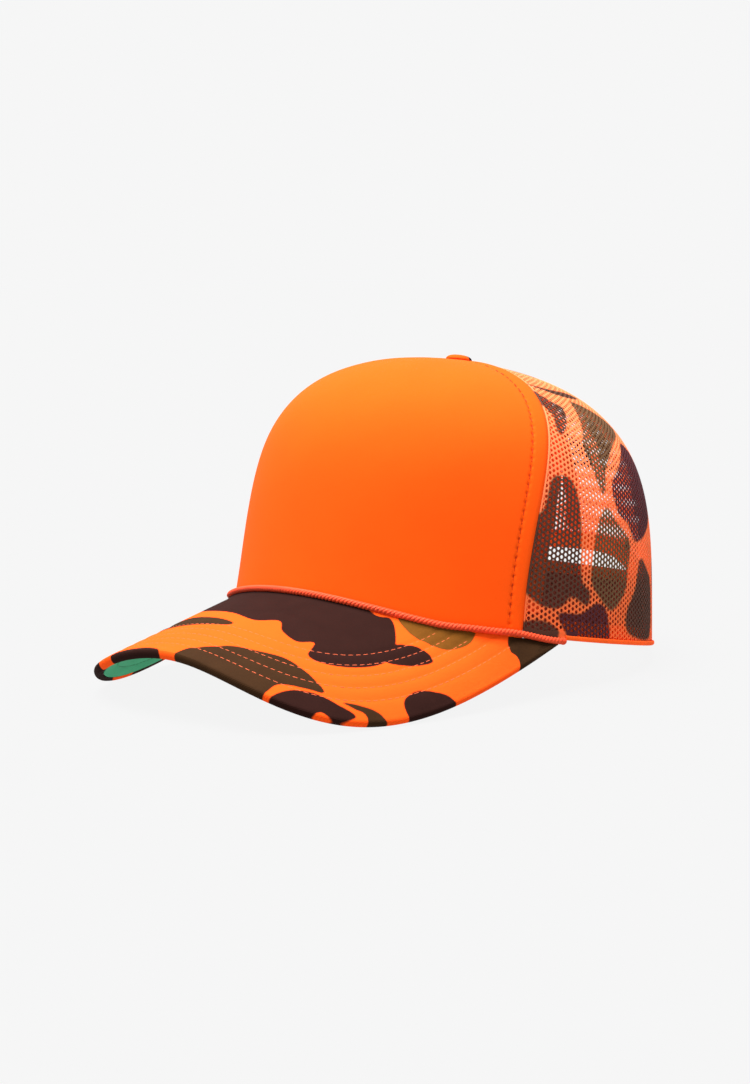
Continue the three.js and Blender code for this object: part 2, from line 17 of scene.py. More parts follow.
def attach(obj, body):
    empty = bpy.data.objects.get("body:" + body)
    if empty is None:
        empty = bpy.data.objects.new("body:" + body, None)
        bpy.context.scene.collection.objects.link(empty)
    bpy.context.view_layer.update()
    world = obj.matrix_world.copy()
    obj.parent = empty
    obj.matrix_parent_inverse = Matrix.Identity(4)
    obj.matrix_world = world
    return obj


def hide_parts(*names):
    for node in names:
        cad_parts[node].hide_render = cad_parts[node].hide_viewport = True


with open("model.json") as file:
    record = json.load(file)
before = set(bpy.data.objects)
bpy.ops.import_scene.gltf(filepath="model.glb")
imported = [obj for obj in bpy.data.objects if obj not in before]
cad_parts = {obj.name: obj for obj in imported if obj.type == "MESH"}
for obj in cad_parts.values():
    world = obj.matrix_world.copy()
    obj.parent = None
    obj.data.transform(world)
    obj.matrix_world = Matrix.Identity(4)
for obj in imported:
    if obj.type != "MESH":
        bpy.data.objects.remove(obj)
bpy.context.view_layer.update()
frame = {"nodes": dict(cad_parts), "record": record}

# -------------------- driving dimensions (mm, degrees)

SIDES = {1: "left", -1: "right"}

RIM_HALF_WIDTH = 89.5
RIM_HALF_LENGTH = 98.8
CROWN_HEIGHT = 115
CROWN_TOP_SHIFT = -11.4
PROFILE_POWER = 3.72
FRONT_POWER = 2.05
SIDE_POWER = 2.16
BACK_POWER = 2.58
WAIST = 0.023
FRONT_WAIST = 0.03
PANEL_TOP = 0.987
MM_PER_DEGREE = 1.56
MM_PER_CLIMB = 152

# A seam's angle at the rim, and how far it has moved on at the top.
FRONT_SEAM = (63, 18)
SIDE_SEAM = (117, 9)
SEAM_GAP = 0.4
TOPSTITCH = dict(low=6.0, high=8.5, pitch=4.0, bottom=4.0, top=0.955)

FACE = dict(inner=1.05, surface=0.25, rolled=0.75, groove=0.65, puff=0.25, ripple=0.10, top_ring=0.35)
FOAM = dict(outer=1.2, inner=4.7, edge=2.0, edge_width=4, dimple=0.12)
TAPE = dict(outer=2.4, inner=3.0, width=8, bottom=9.5, top=0.93, front_gap=0.3, belly=0.12)
TAPE_ABOVE_ARCH = 10
LABEL = dict(outer=5.0, inner=5.5, half_angle=14, bottom=46, top=68, inset=1.2, curl=0.12)
HEM = dict(outer=-0.4, inner=2.1, leaf=0.5, width=8, edging=2.0, first=74.9, last=142.3, stitch=1.4)
EDGE_CLEARANCE = 0.9
ARCH = dict(half_width=46, height=40, power=3.0)
BAND = dict(front=6.0, side=4.4, bottom=2, top=31, last=141)
BAND_LAYER = dict(padding=1.0, gap=0.3, cloth=0.6, leaf=0.6, binding=5, wave=0.08, bulge=0.3)

# The knit: cells one HOLE_PITCH apart in columns that run up the panel.
HOLE_PITCH = 2.3
COLUMN_PITCH = 2.0
HOLE_SHARE = 0.64
LATTICE_DEPTHS = dict(top=0.55, bottom=1.0, hole_top=0.62, hole_bottom=0.93)
CELL_MARGIN = 0.3
CELL_RISE = 0.8
SELVEDGE = dict(outer=0.5, inner=1.1, roll=0.2)
# From a seam, in millimetres towards the back: where each selvedge starts and ends.
FRONT_SELVEDGE = (-0.1, 0.6)
SELVEDGE_BEFORE = (-0.9, -0.05)
SELVEDGE_AFTER = (0.05, 0.9)
# The flat chart of a panel: its rows, its half width in millimetres, and the degrees it reaches.
CHART = dict(rows=240, half_width=90, reach=75, steps=301)
COLUMN_REACH = 44
EDGING = dict(outer=0.45, inner=1.2, front=6.0, side=3.6)
HEX_X = np.array([2, 1, -1, -2, -1, 1])
HEX_Y = np.array([0, 1, 1, 0, -1, -1])

BRIM_FRONT_HEIGHT = 3.7
BRIM_SLOPE = 21.9
BRIM_RADIUS = 109
BRIM_TAPER = 0.31
BRIM_HALF_WIDTH = 85.8
BRIM_LENGTH = 65.6
BRIM_END = -14.5
BRIM_POWER = 3.07
BRIM_ROOT_ANGLE = 72.3
BRIM_EDGE_ANGLE = 79.7
BRIM_STATION = 0.965
CLOTH_STATION = 0.993
THIN_END = dict(share=0.45, start=0.86, pinch=0.7)
BRIM_ROOT_GAP = 0.6
COVER = dict(near=1.2, far=1.9, fold=0.9, roll=0.3, tuck=1.0, rise=1.3)
RISE_FADE = (0.78, 0.93)
UNDER_COVER_INSET = 0.4
STITCH_ROWS = [6.8 + 5.5 * k for k in range(5)]
ROW_RELIEF = dict(height=0.42, roundness=0.55, sink=0.30)

ROPE = dict(radius=1.4, last=72.0, clearance=0.3)
ROPE_BOW = dict(height=1.2, start=0.55, end=0.72)
ROPE_DROP = dict(depth=6.0, start=0.80, end=1.08)
ROPE_STRAND = dict(count=3, lay=5.0, offset=0.66, radius=0.76)
TACK = dict(turn=1.3, radius=1.35, wraps=7, pitch=0.4, thread=0.24, core=1.2)
BUTTON = dict(radius=5.8, height=2.1, back=7, top_of_back=-2.9, spot=((4.4, 2.8), 3.0))
STRAP = dict(arc=77.4, centre=17.5, bottom=4, width=18, hole_thickness=1.3, peg_thickness=1.5, gap=0.3)
STRAP_TAB = (42.4, 50.5)
STRAP_ROLL = 1.15
STRAP_JOINTS = {1: "peg_strap_swing", -1: "hole_strap_swing"}
TAB_OUTER = STRAP["arc"] - STRAP["hole_thickness"] - STRAP["gap"]
TAB_INNER = TAB_OUTER - STRAP["peg_thickness"]

# -------------------- camera

CAMERA = dict(azimuth=42.459, elevation=7.587, roll=-0.687, distance=0.9488, field=28.563)
CAMERA_AIM = Vector((-0.02592, 0.01725, 0.05122))


def add_camera():
    turn, lift, roll = (math.radians(CAMERA[k]) for k in ("azimuth", "elevation", "roll"))
    back = Vector((math.sin(turn) * math.cos(lift), -math.cos(turn) * math.cos(lift), math.sin(lift)))
    level = Vector((math.cos(turn), math.sin(turn), 0))
    right = level * math.cos(roll) + back.cross(level) * math.sin(roll)
    data = bpy.data.cameras.new("camera")
    data.sensor_fit = "VERTICAL"
    data.angle = math.radians(CAMERA["field"])
    data.clip_end = 50
    camera = bpy.data.objects.new("camera", data)
    rotation = Matrix((right, back.cross(right), back)).transposed().to_4x4()
    camera.matrix_world = Matrix.Translation(CAMERA_AIM + back * CAMERA["distance"]) @ rotation
    bpy.context.scene.collection.objects.link(camera)
    bpy.context.scene.camera = camera


# -------------------- rim frame to part frame

head_opening = next(m for m in frame["record"]["mounts"] if m["name"] == "head_opening")
RIM_CENTRE = np.array(head_opening["pos_m"])
TIP_SIN, TIP_COS = -head_opening["axis"][1], -head_opening["axis"][2]
TIP = np.array([[1, 0, 0], [0, TIP_COS, TIP_SIN], [0, -TIP_SIN, TIP_COS]])


def to_part(points):
    return points @ TIP.T * 0.001 + RIM_CENTRE


def to_rim(point):
    return TIP.T @ (1000 * (np.array(point) - RIM_CENTRE))


# -------------------- crown surface

CLIMB_POWER = PROFILE_POWER / 2
LOW_RISE = CROWN_HEIGHT * (math.pi / 2) ** (2 / PROFILE_POWER)


def mix(a, b, share):
    return a + (b - a) * share


def smoothstep(x, low, high):
    t = np.clip((np.asarray(x, float) - low) / (high - low), 0, 1)
    return t * t * (3 - 2 * t)


def unit(vectors):
    return vectors / np.maximum(np.linalg.norm(vectors, axis=-1, keepdims=True), 1e-12)


def height_at(climb):
    c = np.asarray(climb, float)
    rise = np.sin(math.pi / 2 * np.clip(c, 0, 1) ** CLIMB_POWER) ** (2 / PROFILE_POWER)
    return np.where(c < 0, c * LOW_RISE, CROWN_HEIGHT * rise)


def climb_at(height):
    h = np.asarray(height, float)
    lift = np.arcsin((np.clip(h, 0, CROWN_HEIGHT) / CROWN_HEIGHT) ** (PROFILE_POWER / 2))
    return np.where(h < 0, h / LOW_RISE, (lift / (math.pi / 2)) ** (1 / CLIMB_POWER))


def reach_at(angle, climb):
    forward = np.cos(np.radians(angle))
    front = np.maximum(forward, 0) ** 2
    back = np.maximum(-forward, 0) ** 2
    power = SIDE_POWER + (FRONT_POWER - SIDE_POWER) * front + (BACK_POWER - SIDE_POWER) * back
    c = np.clip(climb, 0, 1)
    waist = (WAIST + FRONT_WAIST * front) * np.sin(math.pi * height_at(c) / CROWN_HEIGHT)
    return np.cos(math.pi / 2 * c ** CLIMB_POWER) ** (2 / power) * (1 - waist)


def skin(angle, climb):
    angle, climb = np.broadcast_arrays(np.asarray(angle, float), np.asarray(climb, float))
    reach, height, turn = reach_at(angle, climb), height_at(climb), np.radians(angle)
    shift = CROWN_TOP_SHIFT * np.maximum(height / CROWN_HEIGHT, 0)
    x = RIM_HALF_WIDTH * np.sin(turn) * reach
    y = -RIM_HALF_LENGTH * np.cos(turn) * reach + shift
    return np.stack([x, y, height], -1)


def crown_outward(angle, climb):
    around = skin(angle + 0.1, climb) - skin(angle - 0.1, climb)
    upward = skin(angle, np.minimum(climb + 1e-3, 0.9999)) - skin(angle, climb - 1e-3)
    return unit(np.cross(around, upward))


def crown(angle, climb, depth):
    angle, climb, depth = np.broadcast_arrays(*(np.asarray(v, float) for v in (angle, climb, depth)))
    return skin(angle, climb) - crown_outward(angle, climb) * depth[..., None]


def turn_for(width, climb):
    return np.degrees(width / (RIM_HALF_WIDTH * reach_at(90, climb)))


def seam(base, climb):
    return base[0] + base[1] * np.maximum(height_at(climb) / CROWN_HEIGHT, 0) ** 1.8


def seam_line(base, side=1):
    return lambda climb: side * seam(base, climb)


def edge_height(angle):
    """Height of the crown's lower edge, which follows the brim and then runs out into the rim."""
    turn = np.minimum(np.abs(angle), BRIM_ROOT_ANGLE) / BRIM_ROOT_ANGLE
    x, y = split(brim_root(turn, 0))
    return brim_height(x, y) * (1 - smoothstep(np.abs(angle), BRIM_ROOT_ANGLE, 115))


def arch_places(turn, grow):
    """Crown places round the back arch, `grow` millimetres outside its edge."""
    power, t = 2 / ARCH["power"], np.radians(turn)
    x = (ARCH["half_width"] + grow) * np.sign(np.cos(t)) * np.abs(np.cos(t)) ** power
    height = np.maximum((ARCH["height"] + grow) * np.sign(np.sin(t)) * np.abs(np.sin(t)) ** power, 0)
    angle = np.full(np.shape(x), 180.0)
    for _ in range(12):
        reach = RIM_HALF_WIDTH * reach_at(angle, climb_at(height))
        angle = 180 - np.degrees(np.arcsin(np.clip(np.abs(x) / reach, -1, 1)))
    return np.where(x < 0, 360 - angle, angle), climb_at(height)


# -------------------- brim surface


def split(plan):
    return plan[..., 0], plan[..., 1]


def brim_height(x, y):
    forward = -y - RIM_HALF_LENGTH
    radius = BRIM_RADIUS - BRIM_TAPER * forward
    sag = radius - np.sqrt(radius * radius - x * x)
    return BRIM_FRONT_HEIGHT - math.tan(math.radians(BRIM_SLOPE)) * forward - sag


def brim_outward(x, y):
    step = 0.05
    slope_x = (brim_height(x + step, y) - brim_height(x - step, y)) / (2 * step)
    slope_y = (brim_height(x, y + step) - brim_height(x, y - step)) / (2 * step)
    return unit(np.stack([-slope_x, -slope_y, np.ones_like(slope_x)], -1))


def brim_point(plan, lift):
    x, y = split(plan)
    return np.stack([x, y, brim_height(x, y)], -1) + brim_outward(x, y) * np.asarray(lift)[..., None]


def brim_root(across, gap):
    turn = np.radians(BRIM_ROOT_ANGLE * np.asarray(across, float))
    return np.stack([(RIM_HALF_WIDTH + gap) * np.sin(turn), -(RIM_HALF_LENGTH + gap) * np.cos(turn)], -1)


def brim_edge(across, grow):
    def at(share):
        turn = np.radians(BRIM_EDGE_ANGLE * share)
        length = RIM_HALF_LENGTH + BRIM_LENGTH + BRIM_END
        reach = (
            np.abs(np.sin(turn) / BRIM_HALF_WIDTH) ** BRIM_POWER
            + np.abs(np.cos(turn) / length) ** BRIM_POWER
        ) ** (-1 / BRIM_POWER)
        return np.stack([reach * np.sin(turn), BRIM_END - reach * np.cos(turn)], -1)

    across = np.asarray(across, float)
    along = unit(at(across + 1e-3) - at(across - 1e-3))
    outward = np.stack([along[..., 1], -along[..., 0]], -1)
    return at(across) + outward * np.asarray(grow, float)[..., None]


def brim_width(across):
    return np.linalg.norm(brim_edge(across, 0.0) - brim_root(across, BRIM_ROOT_GAP), axis=-1)


def brim_plan(across, inset):
    """Plan place `inset` millimetres in from the brim's edge, towards the crown."""
    share = 1 - inset / brim_width(across)
    return mix(brim_root(across, BRIM_ROOT_GAP), brim_edge(across, 0.0), share[..., None])


# -------------------- mesh building


class Geometry:
    """Points in the rim frame, faces, and named values at the points."""

    def __init__(self, points, faces, values):
        self.points, self.faces, self.values = points, faces, values


def solid(points, faces, **values):
    """A closed mesh with its faces turned outwards."""
    points = points.reshape(-1, 3)
    centre = points.mean(0)
    volume = 0.0
    for part in faces:
        corner = points[part] - centre
        for k in range(1, part.shape[1] - 1):
            volume += np.einsum("ij,ij->", corner[:, 0], np.cross(corner[:, k], corner[:, k + 1]))
    if volume < 0:
        faces = [part[:, ::-1] for part in faces]
    return Geometry(points, faces, values)


def join(pieces):
    first = np.cumsum([0] + [len(p.points) for p in pieces])
    faces = [part + start for p, start in zip(pieces, first) for part in p.faces]
    values = {key: np.concatenate([p.values[key] for p in pieces]) for key in pieces[0].values}
    return Geometry(np.concatenate([p.points for p in pieces]), faces, values)


def run_along(points, axis=0):
    """Distances along rows of points, from the first one."""
    steps = np.diff(points, axis=axis, prepend=points.take([0], axis))
    return np.cumsum(np.linalg.norm(steps, axis=-1), axis)


def flat_place(along, up):
    """Cloth coordinates in millimetres, which the weaves and twists are drawn on."""
    return np.stack([along, up, np.zeros_like(up)], -1)


def shell(outer, inner, **values):
    """A closed sheet between two grids of points."""
    size = outer.shape[0] * outer.shape[1]
    index = np.arange(size).reshape(outer.shape[:2])
    face = np.stack([index[:-1, :-1], index[:-1, 1:], index[1:, 1:], index[1:, :-1]], -1).reshape(-1, 4)
    rim = np.concatenate([index[0, :], index[1:, -1], index[-1, -2::-1], index[-2:0:-1, 0]])
    after = np.roll(rim, -1)
    walls = np.stack([after, rim, rim + size, after + size], -1)
    along = run_along(outer, 1)
    along -= along[:, along.shape[1] // 2][:, None]
    values["cloth"] = flat_place(along, run_along(outer))
    doubled = {k: np.concatenate([v.reshape(size, -1).squeeze()] * 2) for k, v in values.items()}
    points = np.concatenate([outer.reshape(-1, 3), inner.reshape(-1, 3)])
    return solid(points, [face, face[:, ::-1] + size, walls], **doubled)


def ring_quads(index):
    """Faces between neighbouring closed rings of points."""
    after = np.roll(index, -1, axis=-1)
    near, far = (slice(None, -1), slice(None)), (slice(1, None), slice(None))
    corners = [index[(..., *near)], after[(..., *near)], after[(..., *far)], index[(..., *far)]]
    return np.stack(corners, -1).reshape(-1, 4)


def sweep(sections, capped=True, **values):
    """A closed section carried along a path: sections has shape (steps, places, 3)."""
    size = sections.shape[0] * sections.shape[1]
    index = np.arange(size).reshape(sections.shape[:2])
    faces = [ring_quads(index)]
    if capped:
        faces += [index[:1, ::-1], index[-1:]]
    values["cloth"] = flat_place(run_along(sections), run_along(sections, 1))
    return solid(sections, faces, **{k: v.reshape(size, -1).squeeze() for k, v in values.items()})


def circle(sides):
    return 2 * math.pi * np.arange(sides) / sides


def ring_directions(turn, side, normal):
    """Directions round a path at the given turns, from its side towards its normal."""
    return np.cos(turn)[:, None] * side[..., None, :] + np.sin(turn)[:, None] * normal[..., None, :]


def tube(path, normals, radius, sides):
    """A round tube along a path, with its section turned to the given normals."""
    tangent = unit(np.gradient(path, axis=0))
    normal = unit(normals - tangent * np.einsum("ij,ij->i", normals, tangent)[:, None])
    return sweep(path[:, None] + radius * ring_directions(circle(sides), np.cross(tangent, normal), normal))


# Along one stitch: share of its length, height (below 0 under the cloth) and thickness.
STITCH_RISE = ((0, -1, 0.55), (0.12, 0.55, 0.95), (0.5, 1, 1), (0.88, 0.55, 0.95), (1, -1, 0.55))
STITCH_SINK = 1.3


def stitches(path, normals, pitch=3.0, length=2.2, radius=0.24, lift=0.12, sides=6):
    """Separate thread stitches along a path that lies on a surface."""
    run = run_along(path)
    count = int(run[-1] // pitch)
    share, rise, fat = (np.array(v) for v in zip(*STITCH_RISE))
    start = (run[-1] - count * pitch) / 2 + pitch * np.arange(count) + (pitch - length) / 2
    at = start[:, None] + length * share

    def read(values):
        return np.stack([np.interp(at, run, values[:, k]) for k in range(3)], -1)

    tangent, normal = unit(read(unit(np.gradient(path, axis=0)))), unit(read(normals))
    height = np.where(rise < 0, rise * radius * STITCH_SINK, rise * lift)
    centre = read(path) + normal * height[:, None]
    turn = circle(sides)
    ring = ring_directions(turn, unit(np.cross(tangent, normal)), normal)
    points = centre[..., None, :] + radius * fat[:, None, None] * ring
    index = np.arange(points.size // 3).reshape(points.shape[:-1])
    cloth = flat_place(*(np.broadcast_to(v, index.shape) for v in (at[..., None], turn * radius)))
    return solid(points, [ring_quads(index), index[:, 0, ::-1], index[:, -1]], cloth=cloth.reshape(-1, 3))


def crown_stitches(angle, climb, depth, facing=1, **how):
    """Stitches on a layer of the crown, on its outside (facing 1) or its inside (facing -1)."""
    return stitches(crown(angle, climb, depth), facing * crown_outward(angle, climb), **how)


def layer(angle, climb, outer, inner, **values):
    """A closed sheet of the crown between two depths."""
    return shell(crown(angle, climb, outer), crown(angle, climb, inner), **values)


def add_piece(name, geometry, material, replaces=(), crease=40):
    mesh = bpy.data.meshes.new(name)
    points = to_part(geometry.points)
    sizes = np.concatenate([np.full(len(f), f.shape[1]) for f in geometry.faces])
    corners = np.concatenate([f.ravel() for f in geometry.faces])
    mesh.vertices.add(len(points))
    mesh.vertices.foreach_set("co", points.ravel())
    mesh.loops.add(len(corners))
    mesh.loops.foreach_set("vertex_index", corners.astype(np.int32))
    mesh.polygons.add(len(sizes))
    mesh.polygons.foreach_set("loop_start", np.concatenate([[0], np.cumsum(sizes)[:-1]]).astype(np.int32))
    mesh.update(calc_edges=True)
    for key, value in geometry.values.items():
        kind, field = ("FLOAT_VECTOR", "vector") if value.ndim > 1 else ("FLOAT", "value")
        attribute = mesh.attributes.new(key, kind, "POINT")
        attribute.data.foreach_set(field, value.astype(np.float32).ravel())
    mesh.shade_smooth()
    mesh.set_sharp_from_angle(angle=math.radians(crease))
    mesh.materials.append(material)
    piece = bpy.data.objects.new(name, mesh)
    bpy.context.scene.collection.objects.link(piece)
    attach(piece, "cap")
    if replaces:
        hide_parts(*replaces)
    return piece


def add_sheet(name, geometry, material, node):
    """A stretched cloth that stands for one CAD node, which it hides."""
    piece = add_piece(name, geometry, material, replaces=[node])


# -------------------- camouflage outlines


def smooth_outline(points, samples=6):
    """A closed smooth curve through a few points."""
    p = np.asarray(points, float)
    before, after, later = np.roll(p, 1, 0), np.roll(p, -1, 0), np.roll(p, -2, 0)
    t = (np.arange(samples) / samples)[None, :, None]
    a, b, c, d = (q[:, None] for q in (before, p, after, later))
    curve = 0.5 * (2 * b + (c - a) * t + (2 * a - 5 * b + 4 * c - d) * t**2 + (3 * b - a - 3 * c + d) * t**3)
    return curve.reshape(-1, 2)


# A patch's lobes: how many round it, how deep, and how fast `wobble` turns them.
LOBES = ((2, 0.22, 1.0), (3, 0.15, 2.3), (5, 0.09, 4.1))


def blotch(x, y, width, height, wobble):
    """An irregular patch; `wobble` picks its lobes."""
    turn = np.radians(np.arange(0, 360, 15))
    reach = 1 + sum(depth * np.sin(count * turn + rate * wobble) for count, depth, rate in LOBES)
    return np.stack([x + width / 2 * np.cos(turn) * reach, y + height / 2 * np.sin(turn) * reach], -1)


FAR_OUTSIDE = -50.0


def inside_distance(places, outlines):
    """Signed distance to the nearest outline, above 0 inside one."""
    flat = places.reshape(-1, 2)
    best = np.full(len(flat), FAR_OUTSIDE)
    for outline in outlines:
        start, end = outline, np.roll(outline, -1, 0)
        low, high = outline.min(0) - 5, outline.max(0) + 5
        near = np.nonzero(((flat > low) & (flat < high)).all(1))[0]
        if not len(near):
            continue
        p = flat[near][:, None]
        along = end - start
        share = np.clip(((p - start) * along).sum(-1) / (along**2).sum(-1), 0, 1)
        distance = np.linalg.norm(p - start - share[..., None] * along, axis=-1).min(1)
        crosses = (start[:, 1] > p[..., 1]) != (end[:, 1] > p[..., 1])
        rise = np.where(along[:, 1] == 0, 1e-9, along[:, 1])
        left = p[..., 0] < start[:, 0] + (p[..., 1] - start[:, 1]) * along[:, 0] / rise
        inside = (crosses & left).sum(1) % 2 == 1
        best[near] = np.maximum(best[near], np.where(inside, distance, -distance))
    return best.reshape(places.shape[:-1])


# Brim plan, in millimetres.
BRIM_DARK = [
    [(-84, -44), (-60, -66), (-40, -84), (-10, -97), (14, -96), (30, -92), (40, -91), (46, -88), (56, -96),
     (60, -105), (57, -116), (50, -126), (42, -130), (38, -123), (33, -128), (24, -127), (17, -122),
     (8, -127), (-6, -124), (-26, -118), (-44, -107), (-62, -90), (-80, -66)],
    [(56, -97), (60, -90), (65, -87), (69, -88), (66, -97), (60, -105)],
    [(-46, -172), (-46, -153), (-52, -148), (-58, -142), (-71, -130), (-88, -118), (-84, -150),
     (-60, -172)],
    [(-34, -161), (-28, -161.6), (-20, -162.6), (-11, -163.2), (-5, -164.3), (-3, -167), (-6, -172),
     (-30, -172)],
    [(50, -158), (51, -147), (57, -139), (64, -134), (70, -130), (68, -138), (63, -142), (62, -147),
     (60, -156)],
    [(74, -108), (74, -101), (77, -95), (82, -89), (92, -86), (92, -98), (86, -107), (78, -110)],
]
BRIM_OLIVE = [
    [(-52, -123), (-42, -120), (-20, -127), (3, -133), (-10, -137), (-30, -136), (-46, -129)],
    [(8, -174), (6, -161), (10, -156), (19, -148), (29, -143), (39, -138), (50, -136), (58, -136),
     (53, -142), (47, -149), (47, -156), (48, -166), (34, -174)],
    [(64, -132), (68, -126), (74, -120), (84, -118), (80, -130), (72, -126), (68, -129)],
    [(76, -48), (86, -22), (98, -30), (94, -56), (84, -53), (80, -54)],
    [(-88, -96), (-76, -92), (-68, -100), (-72, -112), (-84, -116), (-92, -108)],
]
BRIM_TAN = [
    [(46, -85), (53, -80), (58, -72), (66, -62), (70, -66), (70, -73), (67, -80), (62, -84), (55, -87)],
    [(-64, -104), (-56, -100), (-52, -108), (-58, -118), (-66, -114)],
]

# Crown places as (angle, climb).
MESH_DARK = [
    [(74, 0.46), (78, 0.45), (80, 0.37), (80, 0.18), (83, 0.14), (82, 0.1), (77, 0.12), (73, 0.085),
     (67, 0.09), (62, 0.14), (62, 0.24), (64, 0.33), (68, 0.35), (71, 0.44)],
    [(108, 0.25), (114, 0.23), (120, 0.17), (118, 0.03), (101, 0.03), (99, 0.09), (104, 0.16)],
    [(68, 0.045), (73, 0.02), (70, -0.03), (61, -0.03), (62, 0.03)],
    [(74, 0.78), (82, 0.72), (86, 0.7), (83, 0.64), (78, 0.59), (77, 0.62), (78, 0.66), (75, 0.71)],
    [(78, 0.79), (82, 0.778), (86, 0.768), (91, 0.76), (97, 0.757), (106, 0.76), (116, 0.775), (106, 0.787),
     (95, 0.784), (88, 0.784), (83, 0.788)],
]
MESH_OLIVE = [
    [(97, 0.738), (103, 0.735), (110, 0.72), (118, 0.695), (122, 0.67), (117, 0.64), (104, 0.59),
     (94, 0.51), (91, 0.435), (89, 0.435), (87, 0.505), (86, 0.57), (89, 0.62), (93, 0.69)],
    [(91, 0.385), (95, 0.35), (101, 0.3), (100, 0.22), (98, 0.15), (93, 0.1), (90, 0.1), (84, 0.16),
     (84, 0.23), (86, 0.32), (88, 0.36)],
]
MESH_PURPLE = [
    [(116, 0.61), (127, 0.55), (128, 0.43), (120, 0.36), (106, 0.3), (101, 0.35), (96, 0.38), (95, 0.46),
     (102, 0.52), (107, 0.56)],
    [(73, 0.07), (80, 0.075), (86, 0.11), (90, 0.08), (90, -0.03), (78, -0.03), (75, 0.02)],
]
# Patches elsewhere on the mesh: kind, angle, climb, width (degrees), height (climb), wobble.
MESH_PATCHES = [
    ("dark", 136, 0.74, 13, 0.16, 1.0), ("olive", 141, 0.45, 13, 0.3, 2.0),
    ("purple", 131, 0.16, 12, 0.22, 3.0), ("dark", 157, 0.62, 14, 0.17, 4.2),
    ("olive", 168, 0.8, 16, 0.14, 5.1), ("dark", 152, 0.24, 9, 0.2, 0.4),
    ("purple", 176, 0.6, 12, 0.15, 1.7), ("dark", 106, 0.9, 20, 0.07, 2.2),
    ("dark", -70, 0.3, 10, 0.3, 2.8), ("olive", -88, 0.55, 13, 0.3, 0.9),
    ("purple", -86, 0.12, 14, 0.18, 1.4), ("dark", -106, 0.32, 12, 0.3, 3.6),
    ("olive", -112, 0.72, 18, 0.2, 4.6), ("dark", -128, 0.52, 14, 0.26, 5.6),
    ("purple", -134, 0.2, 12, 0.24, 0.2), ("dark", -78, 0.8, 16, 0.14, 1.9),
    ("olive", -152, 0.42, 12, 0.26, 2.6), ("dark", -150, 0.76, 18, 0.16, 3.1),
    ("dark", 100, 0.945, 30, 0.018, 0.8), ("purple", 128, 0.91, 22, 0.03, 1.2),
    ("dark", -168, 0.6, 12, 0.12, 4.0), ("olive", -172, 0.86, 18, 0.1, 5.0),
    ("purple", -100, 0.92, 22, 0.07, 0.7),
]


def crown_patches(kind, drawn):
    """Outlines of one colour on the crown: the drawn ones and the blotches elsewhere."""
    scale = np.array([MM_PER_DEGREE, MM_PER_CLIMB])
    outlines = [smooth_outline(np.array(p) * scale) for p in drawn]
    for patch, angle, climb, width, height, wobble in MESH_PATCHES:
        if patch == kind:
            size = np.array([angle, climb, width, height]) * np.tile(scale, 2)
            outlines.append(smooth_outline(blotch(*size, wobble), 3))
    return outlines


def crown_camouflage(angle, climb):
    angle = np.where(angle > 180, angle - 360, angle)
    places = np.stack([angle * MM_PER_DEGREE, climb * MM_PER_CLIMB], -1)
    kinds = {"dark": MESH_DARK, "olive": MESH_OLIVE, "purple": MESH_PURPLE}
    return {k: inside_distance(places, crown_patches(k, v)) for k, v in kinds.items()}


def brim_camouflage(plan):
    kinds = {"dark": BRIM_DARK, "olive": BRIM_OLIVE, "tan": BRIM_TAN}
    return {k: inside_distance(plan, [smooth_outline(o) for o in v]) for k, v in kinds.items()}


# -------------------- materials


